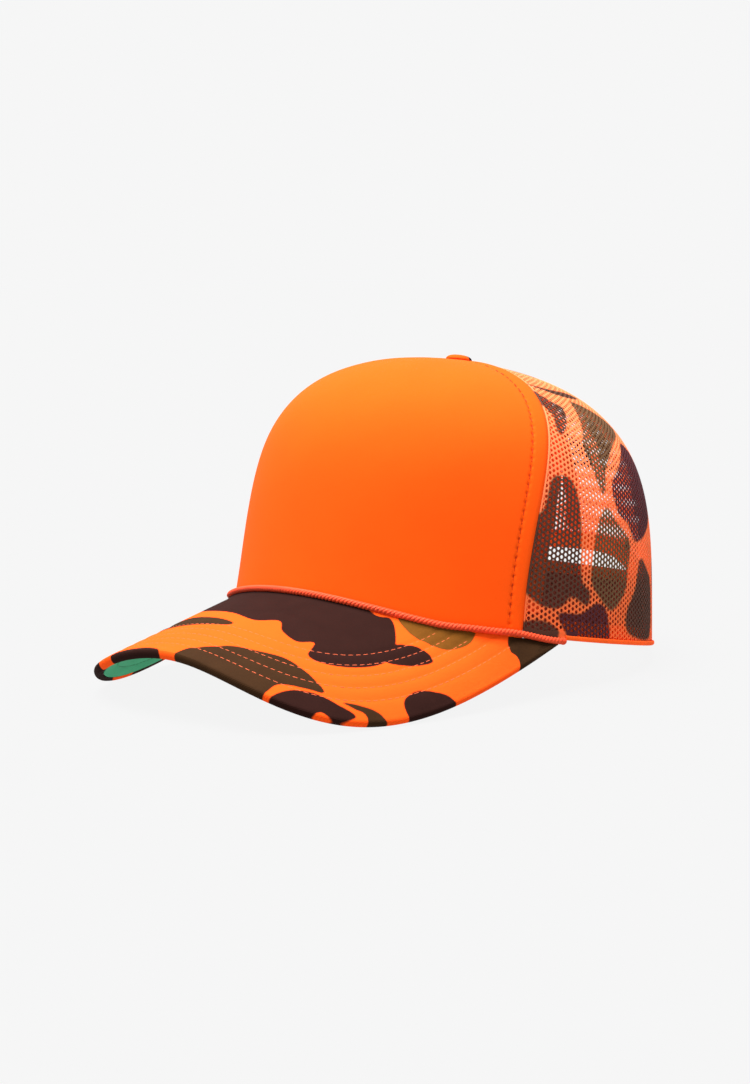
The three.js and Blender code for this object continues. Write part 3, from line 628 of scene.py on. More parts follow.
class Shader:
    """A material's node tree, with short calls to add and join nodes."""

    def __init__(self, name):
        self.material = bpy.data.materials.new(name)
        self.material.use_nodes = True
        self.nodes = self.material.node_tree.nodes
        self.surface = self.nodes["Principled BSDF"]

    def add(self, kind, inputs=None, **settings):
        made = self.nodes.new(kind)
        for key, value in settings.items():
            setattr(made, key, value)
        for key, value in (inputs or {}).items():
            self.feed(made, key, value)
        return made

    def feed(self, made, key, value):
        if isinstance(value, bpy.types.NodeSocket):
            self.material.node_tree.links.new(value, made.inputs[key])
        else:
            made.inputs[key].default_value = value

    def math(self, operation, a, b):
        return self.add("ShaderNodeMath", {0: a, 1: b}, operation=operation).outputs[0]

    def total(self, a, b, share):
        """The first value plus a share of the second."""
        return self.math("ADD", a, self.math("MULTIPLY", b, share))

    def blend(self, factor, a, b, kind="MIX"):
        made = self.add("ShaderNodeMix", {0: factor, 6: a, 7: b}, data_type="RGBA", blend_type=kind)
        return made.outputs[2]

    def value(self, name):
        return self.add("ShaderNodeAttribute", attribute_name=name).outputs["Fac"]

    def place(self):
        return self.add("ShaderNodeTexCoord").outputs["Object"]

    def noise(self, scale, detail=2.0):
        inputs = {"Vector": self.place(), "Scale": scale, "Detail": detail, "Roughness": 0.6}
        return self.add("ShaderNodeTexNoise", inputs).outputs["Fac"]

    def wave(self, direction, scale, distortion=0.0, detail=2.0):
        """Stripes across the cloth coordinates."""
        cloth = self.add("ShaderNodeAttribute", attribute_name="cloth").outputs["Vector"]
        inputs = {"Vector": cloth, "Scale": scale, "Distortion": distortion, "Detail": detail}
        return self.add("ShaderNodeTexWave", inputs, bands_direction=direction).outputs["Fac"]

    def weave(self, kind, pitch):
        """Height of a weave whose threads are `pitch` millimetres apart, from 0 to 1."""
        if kind == "twill":
            return self.wave("DIAGONAL", 0.444 / pitch, 0.6, 1.0)
        return self.math("MULTIPLY", *(self.wave(d, 0.314 / pitch, 0.4) for d in ("X", "Y")))

    def ramp(self, factor, low, high):
        ends = {"From Min": low[0], "From Max": high[0], "To Min": low[1], "To Max": high[1]}
        return self.add("ShaderNodeMapRange", {"Value": factor, **ends}).outputs["Result"]

    def mottled(self, colour, amount=0.1, patch_mm=14, speck_mm=0.7):
        """The colour with slow patches and fine specks of lighter and darker dye."""
        slow = self.math("MULTIPLY", self.noise(1000 / patch_mm, 3.0), 0.6)
        both = self.total(slow, self.noise(1000 / speck_mm), 0.4)
        shade = self.ramp(both, (0.3, 1 - amount), (0.7, 1 + amount))
        grey = self.add("ShaderNodeCombineColor", {0: shade, 1: shade, 2: shade}).outputs[0]
        return self.blend(1.0, colour, grey, "MULTIPLY")

    def paint(self, colour, deep=None, *depth):
        """Sets the colour; `depth` is a ramp that blends in the deep one, a painted shade such as between
        threads.
        """
        if depth:
            colour = self.blend(self.ramp(*depth), colour, deep)
        self.feed(self.surface, "Base Color", colour)

    def rough(self, factor, low, high):
        self.feed(self.surface, "Roughness", self.ramp(factor, low, high))

    def bump(self, height, depth_mm):
        made = self.add("ShaderNodeBump", {"Height": height, "Distance": depth_mm * 0.001, "Strength": 1.0})
        self.feed(self.surface, "Normal", made.outputs["Normal"])

    def let_through(self, share, colour):
        """Lets a share of the light through to the other side, as thin knitted yarn does."""
        glow = self.add("ShaderNodeBsdfTranslucent", {"Color": colour})
        both = self.add("ShaderNodeMixShader", {0: share, 1: self.surface.outputs[0], 2: glow.outputs[0]})
        self.feed(self.nodes["Material Output"], "Surface", both.outputs[0])

    def finish(self, **constants):
        for key, value in constants.items():
            self.surface.inputs[key.replace("_", " ")].default_value = value
        return self.material


def rgb(r, g, b):
    return (r, g, b, 1.0)


NEON = rgb(0.80, 0.073, 0.002)
CORAL = rgb(0.70, 0.062, 0.016)
BRIM_ORANGE = rgb(0.86, 0.078, 0.006)
BRIM_COLOURS = {
    "tan": rgb(0.118, 0.042, 0.005),
    "olive": rgb(0.029, 0.0125, 0.0045),
    "dark": rgb(0.017, 0.0052, 0.0038),
}
# Painted light: the knit's orange in shade low on the crown and lit peach higher up, blended by height as
# light falls from above.
KNIT_ORANGE_SHADED_AND_LIT = (rgb(1.0, 0.23, 0.055), rgb(1.0, 0.36, 0.14))
KNIT_PAINTED_LIGHT_RAMP = ((0.025, 0), (0.085, 1))
KNIT_COLOURS = {
    "purple": rgb(0.125, 0.026, 0.034),
    "olive": rgb(0.21, 0.105, 0.045),
    "dark": rgb(0.135, 0.055, 0.033),
}


def fabric(name, colour, kind="plain", pitch=0.8, relief=0.06, rough=0.85, sheen=0.04, amount=0.1,
           through=0.0):
    shader = Shader(name)
    height = shader.weave(kind, pitch)
    fuzz = shader.noise(2500)
    tinted = shader.mottled(colour, amount)
    # painted shade: the low places of the weave between threads are darkened
    deep = shader.blend(0.5, tinted, tinted, "MULTIPLY")
    shader.paint(tinted, deep, height, (0.0, 0.22), (0.6, 0.0))
    shader.rough(fuzz, (0.3, rough - 0.08), (0.7, min(rough + 0.08, 1)))
    shader.bump(shader.total(height, fuzz, 0.5), relief)
    if through:
        shader.let_through(through, tinted)
    return shader.finish(Sheen_Weight=sheen, Sheen_Roughness=0.5, Sheen_Tint=colour, Specular_IOR_Level=0.12)


def camouflage(shader, base, colours, edge=0.25, waver=0.3):
    """Lays printed colours over the base where their named distances are above 0."""
    jitter = shader.math("MULTIPLY", shader.math("SUBTRACT", shader.noise(700), 0.5), waver)
    for name, colour in colours.items():
        inside = shader.ramp(shader.math("ADD", shader.value(name), jitter), (-edge, 0.0), (edge, 1.0))
        base = shader.blend(inside, base, shader.mottled(colour, 0.14, 9))
    return base


def brim_print():
    shader = Shader("brim_camo_twill")
    colour = camouflage(shader, shader.mottled(BRIM_ORANGE, 0.05, 20), BRIM_COLOURS)
    height = shader.weave("twill", 0.75)
    # painted shade: the twill's grooves between threads are darkened
    shader.paint(colour, rgb(0.02, 0.01, 0.01), height, (0, 0.12), (0.6, 0))
    fuzz = shader.noise(2500)
    shader.rough(fuzz, (0.3, 0.78), (0.7, 0.92))
    shader.bump(shader.math("ADD", height, fuzz), 0.05)
    return shader.finish(Specular_IOR_Level=0.03)


def mesh_print():
    shader = Shader("camo_mesh_knit")
    height = shader.add("ShaderNodeSeparateXYZ", {0: shader.place()}).outputs["Z"]
    # painted light: shaded orange low down turning to lit peach higher up
    painted_light_orange = shader.blend(shader.ramp(height, *KNIT_PAINTED_LIGHT_RAMP), *KNIT_ORANGE_SHADED_AND_LIT)
    printed = camouflage(shader, shader.mottled(painted_light_orange, 0.08, 16), KNIT_COLOURS, 0.5, 0.8)
    shader.paint(printed)
    yarn = shader.noise(3200)
    shader.rough(yarn, (0.3, 0.5), (0.7, 0.75))
    shader.bump(yarn, 0.06)
    shader.let_through(0.5, printed)
    return shader.finish(Specular_IOR_Level=0.2)


def face_cloth():
    shader = Shader("front_face_cloth")
    shader.paint(shader.mottled(NEON, 0.04, 30, 0.9))
    fuzz = shader.noise(1800, 3.0)
    shader.rough(fuzz, (0.3, 0.85), (0.7, 0.98))
    soft = shader.total(fuzz, shader.noise(90), 2.0)
    shader.bump(shader.total(soft, shader.weave("plain", 0.5), 0.3), 0.05)
    return shader.finish(Sheen_Weight=0.03, Sheen_Roughness=0.5, Sheen_Tint=NEON, Specular_IOR_Level=0.08)


def foam_cells():
    shader = Shader("open_cell_foam")
    inputs = {"Vector": shader.place(), "Scale": 1400.0}
    cells = shader.add("ShaderNodeTexVoronoi", inputs).outputs["Distance"]
    tinted = shader.mottled(rgb(0.85, 0.16, 0.03), 0.1, 18)
    # painted shade: the pits of the open cells are darkened
    shader.paint(tinted, rgb(0.3, 0.04, 0.01), cells, (0.1, 0.5), (0.5, 0))
    shader.rough(cells, (0.0, 0.98), (0.5, 0.88))
    shader.bump(cells, 0.25)
    return shader.finish(Specular_IOR_Level=0.15)


def thread(name, colour):
    shader = Shader(name)
    twist = shader.wave("DIAGONAL", 0.9)
    tinted = shader.mottled(colour, 0.12, 25, 0.4)
    # painted shade: the grooves of the twist are darkened
    deep = shader.blend(1.0, tinted, tinted, "MULTIPLY")
    shader.paint(tinted, deep, twist, (0, 0.3), (0.6, 0))
    shader.rough(twist, (0, 0.65), (1, 0.45))
    shader.bump(twist, 0.06)
    return shader.finish(Specular_IOR_Level=0.1)


def twisted_cord():
    shader = Shader("twisted_cord")
    fibres = shader.wave("DIAGONAL", 0.75, 1.5)
    tinted = shader.mottled(CORAL, 0.1, 12, 0.5)
    # painted shade: the grooves between the cord's fibres are given a darker shadow red
    shader.paint(tinted, rgb(0.55, 0.03, 0.01), fibres, (0, 0.25), (0.6, 0))
    shader.rough(fibres, (0, 0.75), (1, 0.55))
    shader.bump(fibres, 0.03)
    return shader.finish(Sheen_Weight=0.05, Sheen_Tint=CORAL, Specular_IOR_Level=0.2)


def moulded_plastic(name, colour, rough):
    shader = Shader(name)
    shader.paint(shader.mottled(colour, 0.05, 22, 2))
    shader.rough(shader.noise(60, 3.0), (0.3, rough - 0.07), (0.7, rough + 0.1))
    shader.bump(shader.noise(1500), 0.02)
    return shader.finish(Specular_IOR_Level=0.5, Coat_Weight=0.15, Coat_Roughness=0.3)


def stamped_metal():
    shader = Shader("stamped_aluminium")
    rub = shader.noise(400, 4.0)
    shader.paint(shader.mottled(rgb(0.62, 0.62, 0.64), 0.08, 4, 0.5))
    shader.rough(rub, (0.3, 0.28), (0.7, 0.5))
    shader.bump(rub, 0.03)
    return shader.finish(Metallic=1.0)


FACE_CLOTH = face_cloth()
FOAM_CELLS = foam_cells()
MESH_PRINT = mesh_print()
BRIM_PRINT = brim_print()
GREEN_TWILL = fabric("green_twill", rgb(0.05, 0.33, 0.16), "twill", 0.75)
TRIM_TAPE = fabric("trim_tape_weave", rgb(0.92, 0.15, 0.035), "plain", 0.7, amount=0.08, through=0.4)
MESH_TRIM = fabric("mesh_orange_tape", rgb(1.0, 0.15, 0.018), "plain", 0.7, amount=0.08, through=0.3)
# Painted shade: the band's dark red-brown is the orange band as it looks in the shade inside the crown.
BAND_TWILL = fabric("band_twill", rgb(0.20, 0.032, 0.02), "twill", 0.8)
BAND_FELT = fabric("band_padding_felt", rgb(0.26, 0.05, 0.03), "plain", 1.6, relief=0.15)
LABEL_SATIN = fabric("label_satin", rgb(0.82, 0.79, 0.72), "twill", 0.4, 0.02, 0.5, 0.3, 0.04)
# Painted shade: the thread is darker than the orange it matches, standing for the shade in the stitch
# dimples.
ORANGE_THREAD = thread("orange_thread", rgb(0.48, 0.032, 0.002))
BRIM_THREAD = thread("brim_thread", rgb(0.66, 0.12, 0.045))
GREEN_THREAD = thread("green_thread", rgb(0.03, 0.22, 0.10))
TWISTED_CORD = twisted_cord()
STRAP_PLASTIC = moulded_plastic("strap_plastic", rgb(0.88, 0.12, 0.015), 0.38)
BOARD_PLASTIC = moulded_plastic("board_plastic", rgb(0.75, 0.75, 0.70), 0.5)
METAL = stamped_metal()

# -------------------- front panel


def dense_edges(half_count, edge, middle):
    """Shares from 0 to 1, packed closer within `edge` of each end."""
    near = np.linspace(0, edge, half_count, endpoint=False)
    return np.concatenate([near, np.linspace(edge, 1 - edge, middle), 1 - near[::-1]])


def front_places(columns, rows):
    u, v = columns[None, :], rows[:, None]
    low_seam = FRONT_SEAM[0]
    low = climb_at(edge_height(mix(-low_seam, low_seam, u)) - 1)
    climb = mix(low, PANEL_TOP, v)
    half = seam(FRONT_SEAM, climb) - turn_for(SEAM_GAP / 2, climb)
    return half * (2 * u - 1), climb


def topstitch_inset(climb):
    return mix(TOPSTITCH["low"], TOPSTITCH["high"], np.clip(climb, 0, 1))


def front_relief(angle, climb):
    """How deep the face cloth dips: rolled edges, a sewn groove and a slight pucker."""
    from_seam = (seam(FRONT_SEAM, climb) - np.abs(angle)) / turn_for(1.0, climb)
    inset = topstitch_inset(climb)
    rolled = FACE["rolled"] * np.exp(-((from_seam / 1.1) ** 2))
    groove = FACE["groove"] * np.exp(-(((from_seam - inset) / 0.7) ** 2))
    dimple = 0.5 + 0.7 * np.cos(math.pi * climb * MM_PER_CLIMB / TOPSTITCH["pitch"]) ** 8
    puff = FACE["puff"] * np.sin(math.pi * np.clip(from_seam / inset, 0, 1))
    ripple = FACE["ripple"] * np.sin(angle * 0.21 + 3 * np.sin(climb * 5)) * np.sin(climb * 11 + angle * 0.07)
    ripple *= smoothstep(from_seam, 4, 20) * (1 - smoothstep(climb, 0.85, 0.97))
    top_ring = FACE["top_ring"] * np.exp(-(((climb - TOPSTITCH["top"]) / 0.012) ** 2))
    return FACE["surface"] + rolled + groove * dimple - puff + ripple + top_ring


def build_front_panel():
    angle, climb = front_places(dense_edges(34, 0.075, 96), np.linspace(0, 1, 300))
    relief = np.clip(front_relief(angle, climb), 0.0, 1.0)
    cloth = layer(angle, climb, relief, FACE["inner"])
    add_sheet("front_panel_face", cloth, FACE_CLOTH, "front_panel_cloth")

    climb = np.linspace(climb_at(TOPSTITCH["bottom"]), TOPSTITCH["top"], 500)
    rows = []
    for side in SIDES:
        angle = side * (seam(FRONT_SEAM, climb) - turn_for(topstitch_inset(climb), climb))
        depth = front_relief(angle, climb) - 0.05
        rows.append(crown_stitches(angle, climb, depth, pitch=TOPSTITCH["pitch"], length=2.9, radius=0.2))
    add_piece("front_panel_topstitch", join(rows), ORANGE_THREAD)


def build_foam():
    angle, climb = front_places(dense_edges(10, 0.05, 60), np.linspace(0, 1, 90))
    from_seam = seam(FRONT_SEAM, climb) - np.abs(angle)
    thick = smoothstep(from_seam, 0.3, FOAM["edge_width"]) * (1 - smoothstep(climb, 0.9, 0.97))
    inner = mix(FOAM["edge"], FOAM["inner"], thick)
    inner -= FOAM["dimple"] * thick * (1 + np.sin(angle * 0.9) * np.sin(climb * 40))
    pad = layer(angle, climb, FOAM["outer"], inner)
    piece = add_piece("front_panel_foam_pad", pad, FOAM_CELLS, ["front_panel_foam"])


# -------------------- knitted mesh panels


class Chart:
    """Turns flat millimetres on a panel (round from its middle line, up from the rim) into crown places."""

    def __init__(self, middle, low, high):
        self.climb = np.linspace(low, high, CHART["rows"])
        self.up = run_along(skin(middle(self.climb), self.climb))
        self.round = np.arange(-CHART["half_width"], CHART["half_width"] + 0.5, 1.0)
        spread = np.linspace(-CHART["reach"], CHART["reach"], CHART["steps"])
        table = []
        for c in self.climb:
            angles = middle(c) + spread
            walk = run_along(skin(angles, c))
            table.append(np.interp(self.round, walk - walk[CHART["steps"] // 2], angles))
        self.angle = np.array(table)

    def place(self, round_, up):
        row, column = (
            np.clip(np.interp(at, marks, np.arange(len(marks))), 0, len(marks) - 1.001)
            for at, marks in ((up, self.up), (round_, self.round))
        )
        i, j = row.astype(int), column.astype(int)
        low = mix(self.angle[i, j], self.angle[i, j + 1], column - j)
        high = mix(self.angle[i + 1, j], self.angle[i + 1, j + 1], column - j)
        return mix(low, high, row - i), np.interp(up, self.up, self.climb)


def lattice(chart, keep, fit):
    """Knitted mesh with a hexagonal hole in every cell that `keep` accepts."""
    rows = np.arange(0, int(chart.up[-1] / HOLE_PITCH) + 1)
    i, j = (v.ravel() for v in np.meshgrid(np.arange(-COLUMN_REACH, COLUMN_REACH + 1), rows))
    centre = np.stack([3 * i, 2 * j + (i % 2)], -1)
    to_mm = np.array([COLUMN_PITCH / 3, HOLE_PITCH / 2])
    centre = centre[keep(*chart.place(*(centre * to_mm).T))]
    corner = np.stack([centre[:, :1] + HEX_X, centre[:, 1:] + HEX_Y], -1)
    keys, index = np.unique(corner.reshape(-1, 2), axis=0, return_inverse=True)
    index = index.reshape(-1, 6)
    angle, climb = chart.place(*(keys * to_mm).T)
    places = np.column_stack([fit(angle, climb), climb, keys * to_mm])
    cell = places[index]
    holes = mix(cell.mean(1, keepdims=True), cell, HOLE_SHARE)
    angle, climb, *flat = np.concatenate([places, holes.reshape(-1, 4)]).T
    size = len(angle)
    on_hole = np.arange(size) >= len(keys)
    depths = (np.where(on_hole, LATTICE_DEPTHS["hole_" + k], LATTICE_DEPTHS[k]) for k in ("top", "bottom"))
    points = np.concatenate([crown(angle, climb, depth) for depth in depths])
    inner = np.arange(len(centre) * 6).reshape(-1, 6) + len(keys)
    outer_next, inner_next = np.roll(index, -1, 1), np.roll(inner, -1, 1)
    ring = np.stack([index, outer_next, inner_next, inner], -1).reshape(-1, 4)
    wall = np.stack([inner, inner_next, inner_next + size, inner + size], -1).reshape(-1, 4)
    edges = np.stack([index, outer_next], -1).reshape(-1, 2)
    _, first, count = np.unique(np.sort(edges, 1), axis=0, return_index=True, return_counts=True)
    rim = edges[first[count == 1]]
    border = np.stack([rim[:, 1], rim[:, 0], rim[:, 0] + size, rim[:, 1] + size], -1)
    values = {k: np.tile(v, 2) for k, v in crown_camouflage(angle, climb).items()}
    cloth = np.tile(flat_place(*flat), (2, 1))
    return solid(points, [ring, ring[:, ::-1] + size, wall, border], cloth=cloth, **values)


def seam_strip(line, side, ends, low):
    """The solid selvedge of a mesh panel along a seam, up from the climb `low`."""
    climb = np.linspace(low, PANEL_TOP, 110)[:, None]
    share = np.linspace(0, 1, 5)[None, :]
    near, far = (side * end for end in ends)
    angle = line(climb) + turn_for(mix(near, far, share), climb)
    roll = SELVEDGE["roll"] * (2 * share - 1) ** 2
    inner = SELVEDGE["inner"] - SELVEDGE["roll"] * roll
    colours = crown_camouflage(angle, climb + 0 * angle)
    return layer(angle, climb, SELVEDGE["outer"] + roll, inner, **colours)


def edge_strip(side):
    """The solid lower edge of a side panel, from the front seam to well inside the hem binding."""
    angle = side * np.linspace(FRONT_SEAM[0], HEM["first"] + 4, 60)[None, :]
    width = mix(EDGING["front"], EDGING["side"], smoothstep(np.abs(angle), FRONT_SEAM[0], 71))
    base = edge_height(angle) + 0.2
    low = np.maximum(base, 0.05)
    climb = climb_at(mix(low, np.maximum(base + width, low + 0.4), np.linspace(0, 1, 7)[:, None]))
    angle = angle + 0 * climb
    return layer(angle, climb, EDGING["outer"], EDGING["inner"], **crown_camouflage(angle, climb))


def build_knit(panel, side, before, after, above, strips):
    """One mesh panel between the lines `before` and `after`; `above` accepts places over its lower edge."""
    chart = Chart(lambda c: side * (before(c) + after(c)) / 2, -0.015, PANEL_TOP)

    def keep(angle, climb):
        margin = turn_for(CELL_MARGIN, climb)
        between = (side * angle > before(climb) + margin) & (side * angle < after(climb) - margin)
        return between & above(angle, climb) & (climb < PANEL_TOP - 0.01)

    def fit(angle, climb):
        margin = turn_for(CELL_MARGIN, climb)
        return side * np.clip(side * angle, before(climb) + margin, after(climb) - margin)

    knit = join([lattice(chart, keep, fit), *strips])
    node = f"{panel}_mesh_{SIDES[side]}"
    add_sheet(f"{panel}_mesh_knit_{SIDES[side]}", knit, MESH_PRINT, node)


def build_side_mesh(side):
    def above(angle, climb):
        return height_at(climb) > edge_height(angle) + EDGE_CLEARANCE + CELL_RISE

    low = float(climb_at(max(float(edge_height(FRONT_SEAM[0])), 0.0) + EDGE_CLEARANCE))
    strips = [
        seam_strip(seam_line(FRONT_SEAM, side), side, FRONT_SELVEDGE, low),
        seam_strip(seam_line(SIDE_SEAM, side), side, SELVEDGE_BEFORE, climb_at(EDGE_CLEARANCE)),
        edge_strip(side),
    ]
    build_knit("side", side, seam_line(FRONT_SEAM), seam_line(SIDE_SEAM), above, strips)


def build_rear_mesh(side):
    def above(angle, climb):
        point = skin(angle, climb)
        grow = EDGE_CLEARANCE + 1.0
        across = np.abs(point[:, 0]) / (ARCH["half_width"] + grow)
        upward = np.maximum(point[:, 2], 0) / (ARCH["height"] + grow)
        outside = across ** ARCH["power"] + upward ** ARCH["power"] > 1
        return outside & (height_at(climb) > EDGE_CLEARANCE + CELL_RISE)

    over_arch = climb_at(ARCH["height"] + EDGE_CLEARANCE)
    strips = [
        seam_strip(seam_line(SIDE_SEAM, side), side, SELVEDGE_AFTER, climb_at(EDGE_CLEARANCE)),
        seam_strip(lambda c: side * 180.0, side, SELVEDGE_BEFORE, over_arch),
    ]
    build_knit("rear", side, seam_line(SIDE_SEAM), lambda c: 180.0, above, strips)


# -------------------- tapes and bindings


def tape(name, line, before, after, bottom):
    climb = np.linspace(climb_at(bottom), TAPE["top"], 120)[:, None]
    share = np.linspace(0, 1, 13)[None, :]
    angle = line(climb) + turn_for(mix(before, after, share), climb)
    belly = -TAPE["belly"] * (1 - (2 * share - 1) ** 2)
    body = layer(angle, climb, TAPE["outer"] + belly, TAPE["inner"] + belly)
    add_sheet(f"{name}_cloth", body, TRIM_TAPE, name)
    climb = climb.ravel()
    rows = []
    for share in (0.14, 0.86):
        angle = line(climb) + turn_for(mix(before, after, share), climb)
        rows.append(crown_stitches(angle, climb, TAPE["inner"] + 0.02, -1, radius=0.2))
    add_piece(f"{name}_stitches", join(rows), ORANGE_THREAD)


def folded_section(outer, inner, leaf, outer_width, inner_width):
    """A binding's section as (up, depth): an outer leaf, a round fold and an inner leaf."""
    middle, half = (outer + inner) / 2, (inner - outer) / 2
    turns = np.radians([70, 45, 20, 0, -20, -45, -70])

    def arc(turns, radius, start):
        return [(start + radius * 0.8 * (1 - math.cos(t)), middle - radius * math.sin(t)) for t in turns]

    return np.array([
        (outer_width, outer + 0.15), (outer_width - 0.4, outer), (outer_width / 2, outer - 0.03),
        *arc(turns, half, 0), (inner_width / 2, inner + 0.03), (inner_width - 0.4, inner),
        (inner_width, inner - 0.15), (inner_width, inner - leaf),
        *arc(turns[::-1], half - leaf, leaf), (outer_width, outer + leaf),
    ])


def build_hem(side):
    up, depth = folded_section(HEM["outer"], HEM["inner"], HEM["leaf"], HEM["edging"], HEM["width"]).T
    angle = np.linspace(HEM["first"], HEM["last"], 130)[:, None]
    binding = sweep(crown(side * angle, climb_at(edge_height(angle) + up), depth))
    node = f"hem_binding_{SIDES[side]}"
    add_sheet(f"{node}_tape", binding, MESH_TRIM, node)
    line = np.linspace(HEM["first"] + 1, HEM["last"] - 1, 300)
    climb = climb_at(edge_height(line) + HEM["width"] - HEM["stitch"])
    row = crown_stitches(side * line, climb, HEM["inner"] + 0.05, -1)
    add_piece(f"hem_stitches_{SIDES[side]}", row, ORANGE_THREAD)


def build_arch():
    up, depth = folded_section(HEM["outer"], HEM["inner"], HEM["leaf"], HEM["width"], HEM["width"]).T
    binding = sweep(crown(*arch_places(np.linspace(0, 180, 220)[:, None], up), depth))
    add_sheet("arch_binding_tape", binding, MESH_TRIM, "arch_binding")
    line = arch_places(np.linspace(2, 178, 500), HEM["width"] - HEM["stitch"])
    rows = [crown_stitches(*line, HEM["outer"] - 0.03), crown_stitches(*line, HEM["inner"] + 0.03, -1)]
    add_piece("arch_binding_stitches", join(rows), ORANGE_THREAD)


# -------------------- sweatband and label


def band_line(count, ends=0):
    """Angles along the band, the height of its lower edge and its depth."""
    angle = np.linspace(-BAND["last"] + ends, BAND["last"] - ends, count)
    depth = mix(BAND["front"], BAND["side"], smoothstep(np.abs(angle), 62, 74))
    return angle, np.maximum(edge_height(angle), 0), depth


def build_sweatband():
    ups = np.linspace(BAND["bottom"], BAND["top"], 22)[:, None]
    angle, low, depth = band_line(300)
    climb = climb_at(low + ups)
    pad = layer(angle, climb, depth, depth + BAND_LAYER["padding"])
    padding = add_piece("sweatband_padding_felt", pad, BAND_FELT, ["sweatband_padding"])

    near = BAND_LAYER["padding"] + BAND_LAYER["gap"]
    far = near + BAND_LAYER["cloth"]
    wave = BAND_LAYER["wave"] * np.sin(np.radians(angle) * 37) * np.sin(math.pi * (ups - 2) / 29)
    swell = np.sin(math.pi * np.clip((ups - BAND["bottom"]) / 27, 0, 1))
    bulge = BAND_LAYER["bulge"] * swell - 0.1
    cloth = layer(angle, climb, depth + near, depth + far + bulge + wave)
    add_sheet("sweatband_face", cloth, BAND_TWILL, "sweatband_cloth")

    leaf, gap, width = (BAND_LAYER[k] for k in ("leaf", "gap", "binding"))
    outer, inner = -gap - leaf, far + gap + leaf
    up, across = folded_section(outer, inner, leaf, width, width).T
    angle, low, depth = (v[:, None] for v in band_line(300))
    binding = sweep(crown(angle, climb_at(low + BAND["top"] + gap + leaf - up), depth + across))
    add_sheet("sweatband_top_tape", binding, TRIM_TAPE, "sweatband_binding")
    angle, low, depth = band_line(900, 1)
    climb = climb_at(low + BAND["top"] + 1 - width + 1.2)
    rows = [
        crown_stitches(angle, climb, depth + inner + 0.05, -1),
        crown_stitches(angle, climb, depth + outer - 0.02),
    ]
    add_piece("sweatband_stitches", join(rows), ORANGE_THREAD)


def build_label():
    angle = np.linspace(-LABEL["half_angle"], LABEL["half_angle"], 60)[None, :]
    climb = climb_at(np.linspace(LABEL["bottom"], LABEL["top"], 34))[:, None]
    curl = LABEL["curl"] * np.sin(angle * 0.35) * np.sin(climb * 30)
    satin = layer(angle, climb, LABEL["outer"] + curl, LABEL["inner"] + curl)
    add_sheet("size_label_blank", satin, LABEL_SATIN, "inside_label")
    side = LABEL["half_angle"] - 0.8
    low, high = climb_at(LABEL["bottom"] + LABEL["inset"]), climb_at(LABEL["top"] - LABEL["inset"])
    flat, tall = np.linspace(-side, side, 60), np.linspace(low, high, 40)
    lines = [(flat, np.full(60, c)) for c in (low, high)] + [(np.full(40, a), tall) for a in (-side, side)]
    how = dict(facing=-1, pitch=2.4, length=1.7, radius=0.16)
    rows = [crown_stitches(*line, LABEL["inner"] + 0.1, **how) for line in lines]
    add_piece("size_label_stitches", join(rows), ORANGE_THREAD)


# -------------------- brim


def row_relief(inset):
    """Height of the cloth between the sewn rows, at a distance in from the brim's edge."""
    phase = (inset - STITCH_ROWS[0]) / (STITCH_ROWS[1] - STITCH_ROWS[0])
    phase = np.clip(phase, -0.5, len(STITCH_ROWS) - 0.5)
    swell = np.abs(np.sin(math.pi * phase)) ** ROW_RELIEF["roundness"]
    return ROW_RELIEF["height"] * swell - ROW_RELIEF["sink"]


def end_taper(across):
    """The brim is pinched thinner where it runs out into the crown."""
    thin = mix(1, THIN_END["share"], smoothstep(np.abs(across), THIN_END["start"], BRIM_STATION))
    return thin * (1 - THIN_END["pinch"] * smoothstep(np.abs(across), BRIM_STATION, CLOTH_STATION))


def fold_width(across):
    return np.minimum(COVER["fold"], 0.45 * brim_width(across))


def build_brim_cover():
    """The top cloth's section runs out over the brim, round its edge, and back inside the layer."""
    across = np.linspace(-CLOTH_STATION, CLOTH_STATION, 330)
    width, fold = brim_width(across), fold_width(across)
    root, edge = brim_root(across, BRIM_ROOT_GAP - COVER["tuck"]), brim_edge(across, 0.0)
    near, far = COVER["near"], COVER["far"]
    section = []

    def lay(plan, lift):
        section.append(np.column_stack([plan, np.broadcast_to(lift, across.shape)]))

    def lay_round(turns, radius):
        for t in np.radians(turns):
            lay(brim_edge(across, COVER["roll"] + 0.5 * radius * math.cos(t)), radius * math.sin(t))

    fade = 1 - smoothstep(np.abs(across), *RISE_FADE)
    for out in np.linspace(-1, 0, 74):
        inset = -out * width
        rise = COVER["rise"] * (1 - smoothstep(width - inset, -1, 3.5)) * fade
        lay(mix(root, edge, 1 + out), far + row_relief(inset) * smoothstep(inset, 0, 2.5) + rise)
    lay_round((70, 45, 20, 0, -20, -45, -70), far)
    for share in np.linspace(0.2, 1, 4):
        lay(brim_edge(across, -fold * share), -far)
    lay(brim_edge(across, -fold), -near)
    lay_round((-60, 0, 60), near)
    for out in np.linspace(0, -1, 24):
        lay(mix(root, edge, 1 + out), near - 0.02)
    section = np.stack(section, 1)
    plan, lift = section[..., :2], section[..., 2] * end_taper(across)[:, None]
    cloth = sweep(brim_point(plan, lift), **brim_camouflage(plan))
    add_sheet("brim_top_cloth", cloth, BRIM_PRINT, "brim_top_cover")


def brim_rows(facing, **how):
    """The sewn rows, on the brim's top (facing 1) or its underside (facing -1)."""
    rows = []
    lift = COVER["far"] + row_relief(np.array(STITCH_ROWS[0])) + 0.05
    for inset in STITCH_ROWS:
        across = np.linspace(-BRIM_STATION, BRIM_STATION, 700)
        across = across[brim_width(across) > inset + 1.5]
        plan = brim_plan(across, np.full_like(across, inset))
        path = brim_point(plan, np.full(len(plan), facing * lift))
        rows.append(stitches(path, brim_outward(*split(plan)) * facing, pitch=3.1, **how))
    return join(rows)


def build_brim_stitches():
    above = dict(facing=1, length=2.4, radius=0.17, lift=0.1)
    below = dict(facing=-1, length=2.5, radius=0.2, lift=0.12)
    add_piece("brim_stitches_above", brim_rows(**above), BRIM_THREAD)
    add_piece("brim_stitches_below", brim_rows(**below), GREEN_THREAD)


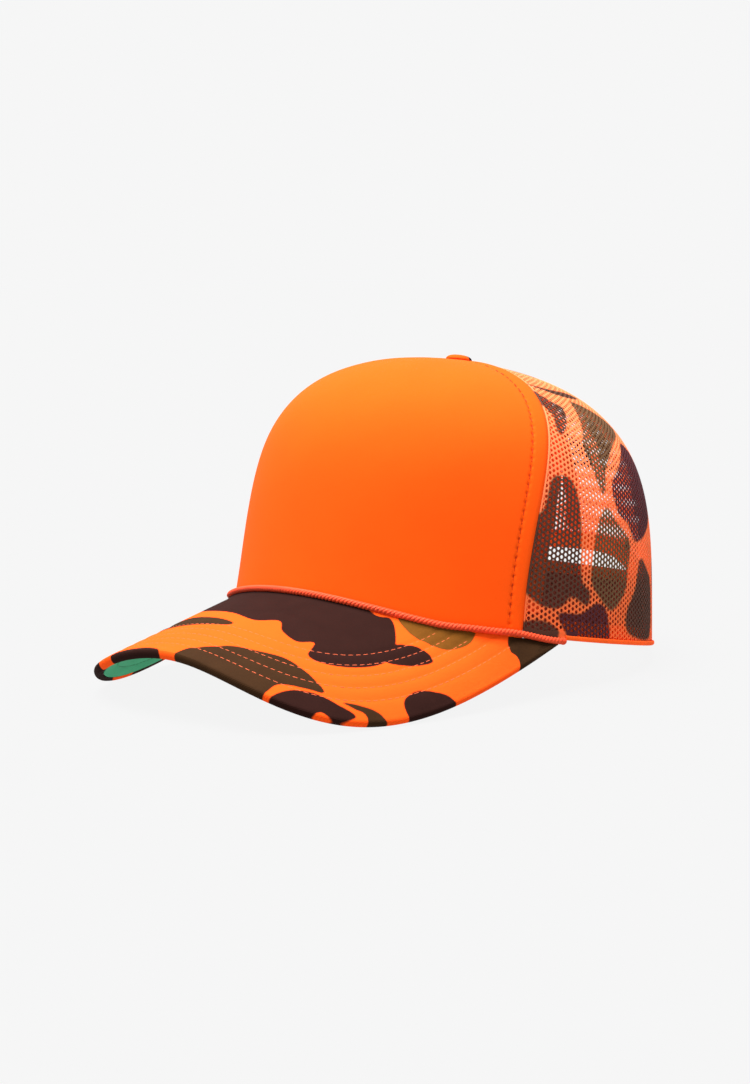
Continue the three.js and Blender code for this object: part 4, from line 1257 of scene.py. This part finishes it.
def build_under_cover():
    across = np.linspace(-CLOTH_STATION, CLOTH_STATION, 300)[:, None]
    edge_inset = fold_width(across) + UNDER_COVER_INSET
    inset = mix(brim_width(across), edge_inset, np.linspace(0, 1, 70)[None, :])
    plan = brim_plan(across + 0 * inset, inset)
    outer = COVER["far"] + row_relief(inset) * smoothstep(inset - edge_inset, 0, 2)
    sides = [brim_point(plan, -lift * end_taper(across)) for lift in (outer, COVER["near"] + 0 * outer)]
    add_sheet("brim_under_cloth", shell(*sides), GREEN_TWILL, "brim_under_cover")


def rope_centre(angle):
    across = angle / BRIM_ROOT_ANGLE
    x, y = split(brim_root(across, BRIM_ROOT_GAP + ROPE["radius"]))
    steep = 1 / brim_outward(x, y)[..., 2]
    lift = (COVER["far"] + ROPE["clearance"] + ROPE["radius"]) * steep
    bow = ROPE_BOW["height"] * smoothstep(np.abs(across), ROPE_BOW["start"], ROPE_BOW["end"])
    drop = ROPE_DROP["depth"] * smoothstep(np.abs(across), ROPE_DROP["start"], ROPE_DROP["end"])
    return np.stack([x, y, brim_height(x, y) + lift + bow - drop], -1)


def build_rope():
    path = rope_centre(np.linspace(-1, 1, 900) * (ROPE["last"] + 0.9))
    tangent = unit(np.gradient(path, axis=0))
    side = unit(np.cross(tangent, [0.0, 0.0, 1.0]))
    strands = []
    for k in range(ROPE_STRAND["count"]):
        turn = 2 * math.pi * (run_along(path) / ROPE_STRAND["lay"] + k / ROPE_STRAND["count"])
        away = np.cos(turn)[:, None] * side + np.sin(turn)[:, None] * np.cross(side, tangent)
        strands.append(tube(path + ROPE_STRAND["offset"] * away, away, ROPE_STRAND["radius"], 10))
    add_piece("brim_rope_strands", join(strands), TWISTED_CORD, replaces=["brim_rope"], crease=80)


def ball(centre, radius):
    turn = circle(16)
    down = np.clip(np.linspace(0, math.pi, 9), 0.02, math.pi - 0.02)[:, None]
    rings = [np.sin(down) * np.cos(turn), np.sin(down) * np.sin(turn), np.cos(down) + 0 * turn]
    return sweep(np.stack(rings, -1) * radius + centre)


def build_rope_tack(side):
    """A ball of thread wraps round the rope's end."""
    centre = rope_centre(np.array(side * (ROPE["last"] + TACK["turn"])))
    along = unit(rope_centre(np.array(side * ROPE["last"])) - centre)
    across = unit(np.cross(along, [0, 0, 1.0]))
    turn = circle(24)[:, None]
    outward = np.cos(turn) * across + np.sin(turn) * np.cross(across, along)
    wraps = []
    for k in range(TACK["wraps"]):
        shift = (k - TACK["wraps"] // 2) * TACK["pitch"]
        radius = math.sqrt(max(TACK["radius"] ** 2 - shift**2, 0.4))
        path = centre + along * shift + outward * radius
        section = [path + TACK["thread"] * (math.cos(p) * outward + math.sin(p) * along) for p in circle(6)]
        sections = np.stack(section, 1)
        wraps.append(sweep(np.concatenate([sections, sections[:1]]), capped=False))
    wraps.append(ball(centre, TACK["core"]))
    name = f"rope_tack_wraps_{SIDES[side]}"
    add_piece(name, join(wraps), TWISTED_CORD, replaces=[f"rope_tack_{SIDES[side]}"], crease=80)


# -------------------- top button


def lathe(profile, sides, wobble=0.0, pleats=12):
    """A turned piece on the crown's top centre, from (radius, height) places on its outline."""
    turn = circle(sides)
    r, z = (np.array(v, float)[:, None] for v in zip(*profile))
    r = np.maximum(r, 0.02) * (1 + wobble * np.cos(pleats * turn) * smoothstep(4 - z, 0, 4))
    x, y = r * np.cos(turn), CROWN_TOP_SHIFT + r * np.sin(turn)
    return sweep(np.stack([x, y, np.broadcast_to(CROWN_HEIGHT + z, x.shape)], -1))


def build_button():
    radius, height = BUTTON["radius"], BUTTON["height"]
    turns = np.radians(np.linspace(0, 90, 22))
    dome = [(radius * math.cos(t) ** 0.8, 0.5 + height * math.sin(t)) for t in turns]
    under = [(0.0, 0.35), (3.0, 0.35), (radius - 1.2, 0.35), (radius - 0.5, 0.2), (radius - 0.1, 0.3)]
    cover = lathe(under + dome, 72, 0.012)
    x, y, _ = cover.points.T
    (spot_x, spot_y), spot_radius = BUTTON["spot"]
    spot = spot_radius - np.hypot(x - spot_x, y - CROWN_TOP_SHIFT - spot_y)
    blank = np.full(len(x), FAR_OUTSIDE)
    cover.values.update(dark=spot, olive=blank, tan=blank)
    add_piece("top_button_cloth", cover, BRIM_PRINT,
              replaces=["top_button_cover", "top_button_core"])
    r, top = BUTTON["back"], BUTTON["top_of_back"]
    low = top - 1.0
    washer = [(0.0, top - 0.75), (1.6, top - 0.75), (2.0, low), (r - 0.4, low), (r, top - 0.7),
              (r, top - 0.2), (r - 0.3, top), (0.0, top)]
    rivet = [(0.0, -1.9), (1.3, -1.9), (1.3, low), (2.3, low), (2.3, top - 1.25), (1.2, top - 1.45),
             (0.0, top - 1.2)]
    back = join([lathe(washer, 60), lathe(rivet, 30)])
    add_piece("top_button_washer", back, METAL, replaces=["top_button_back"])


# -------------------- snap strap


def strap_point(x, up, radius):
    turn = np.arcsin(x / STRAP["arc"])
    height = STRAP["bottom"] + up
    return np.stack([radius * np.sin(turn), STRAP["centre"] + radius * np.cos(turn), height + 0 * x], -1)


def strap_roll(joint_name):
    """The rolled end of the tab, which holds the strap's end and lies along the strap's axis."""
    joint = next(j for j in frame["record"]["behaviour"]["joints"] if j["name"] == joint_name)
    foot = to_rim(joint["pos_m"])
    height = np.linspace(STRAP["bottom"] - 0.4, STRAP["bottom"] + STRAP["width"] + 0.4, 24)
    path = np.stack([np.full(24, foot[0]), np.full(24, foot[1]), height], -1)
    return tube(path, np.broadcast_to([1.0, 0.0, 0.0], path.shape), STRAP_ROLL, 20)


def build_strap_tab(side):
    node = f"strap_tab_{SIDES[side]}"
    up = np.linspace(1, STRAP["width"] - 1, 24)
    up, x = np.meshgrid(up, side * np.linspace(*STRAP_TAB, 24), indexing="ij")
    flap = shell(strap_point(x, up, TAB_OUTER), strap_point(x, up, TAB_INNER))
    body = join([flap, strap_roll(STRAP_JOINTS[side])])
    add_sheet(f"{node}_cloth", body, TRIM_TAPE, node)
    up = np.linspace(2, STRAP["width"] - 2, 30)
    rows = []
    for share in (0.2, 0.5, 0.8):
        x = np.full(30, side * mix(*STRAP_TAB, share))
        inward = -unit(strap_point(x, up, 1.0) - strap_point(x, up, 0.0))
        path = strap_point(x, up, TAB_INNER - 0.03)
        rows.append(stitches(path, inward, pitch=2.4, length=1.8, radius=0.2))
    add_piece(f"{node}_stitches", join(rows), ORANGE_THREAD)


def dress_cad_nodes():
    """Materials for the nodes whose CAD shape is shown as it is."""
    shown = dict(strap_with_holes=STRAP_PLASTIC, strap_with_pegs=STRAP_PLASTIC, brim_board=BOARD_PLASTIC)
    for node, material in shown.items():
        data = frame["nodes"][node].data
        data.materials.clear()
        data.materials.append(material)


# -------------------- studio

BACKDROP = 0.922
FLOOR = dict(albedo=0.008, reach=12.0, drop=0.0004)
KEY = dict(toward=(-0.16, -0.08, 1.0), strength=10.6, softness=40)
KEY_DIRECTION = Vector(KEY["toward"]).normalized()


def add_floor():
    """A pale floor that glows just enough to meet the backdrop without a seam."""
    albedo, reach = FLOOR["albedo"], FLOOR["reach"]
    lit = albedo * (BACKDROP + KEY["strength"] * KEY_DIRECTION.z / math.pi)
    shader = Shader("studio_floor")
    glow = shader.add("ShaderNodeEmission", {"Color": rgb(1, 1, 1), "Strength": BACKDROP - lit})
    matt = shader.add("ShaderNodeBsdfDiffuse", {"Color": rgb(albedo, albedo, albedo)})
    both = shader.add("ShaderNodeAddShader", {0: glow.outputs[0], 1: matt.outputs[0]})
    shader.feed(shader.nodes["Material Output"], "Surface", both.outputs[0])
    mesh = bpy.data.meshes.new("studio_floor")
    corners = [(-reach, -reach, 0), (reach, -reach, 0), (reach, reach, 0), (-reach, reach, 0)]
    mesh.from_pydata(corners, [], [(0, 1, 2, 3)])
    mesh.materials.append(shader.material)
    floor = bpy.data.objects.new("studio_floor", mesh)
    floor.location.z = -FLOOR["drop"]
    bpy.context.scene.collection.objects.link(floor)


def add_world():
    world = bpy.data.worlds.new("studio")
    world.use_nodes = True
    background = world.node_tree.nodes["Background"]
    background.inputs["Color"].default_value = rgb(1, 1, 1)
    background.inputs["Strength"].default_value = BACKDROP
    bpy.context.scene.world = world


def add_key():
    """One broad, soft lamp from above and a little to the front."""
    data = bpy.data.lights.new("key", "SUN")
    data.energy = KEY["strength"]
    data.angle = math.radians(KEY["softness"])
    lamp = bpy.data.objects.new("key", data)
    lamp.location = KEY_DIRECTION
    lamp.rotation_euler = KEY_DIRECTION.to_track_quat("Z", "Y").to_euler()
    bpy.context.scene.collection.objects.link(lamp)


def set_studio():
    add_floor()
    add_world()
    add_key()
    view = bpy.context.scene.view_settings
    view.view_transform = "Standard"
    view.look = "None"
    view.exposure = 0
    view.gamma = 1


# -------------------- the cap


def build_tapes(side):
    near, far = sorted((TAPE["front_gap"] * side, TAPE["width"] * side))
    half = TAPE["width"] / 2
    tape(f"front_seam_tape_{SIDES[side]}", seam_line(FRONT_SEAM, side), near, far, TAPE["bottom"])
    tape(f"side_seam_tape_{SIDES[side]}", seam_line(SIDE_SEAM, side), -half, half, TAPE["bottom"])


def build_back_tape():
    half = TAPE["width"] / 2
    tape("centre_back_tape", lambda climb: 180.0, -half, half, ARCH["height"] + TAPE_ABOVE_ARCH)


add_camera()
build_front_panel()
build_foam()
for side in SIDES:
    build_side_mesh(side)
    build_rear_mesh(side)
    build_tapes(side)
    build_hem(side)
    build_rope_tack(side)
    build_strap_tab(side)
build_back_tape()
build_arch()
build_sweatband()
build_label()
build_brim_cover()
build_brim_stitches()
build_under_cover()
build_rope()
build_button()
dress_cad_nodes()
set_studio()
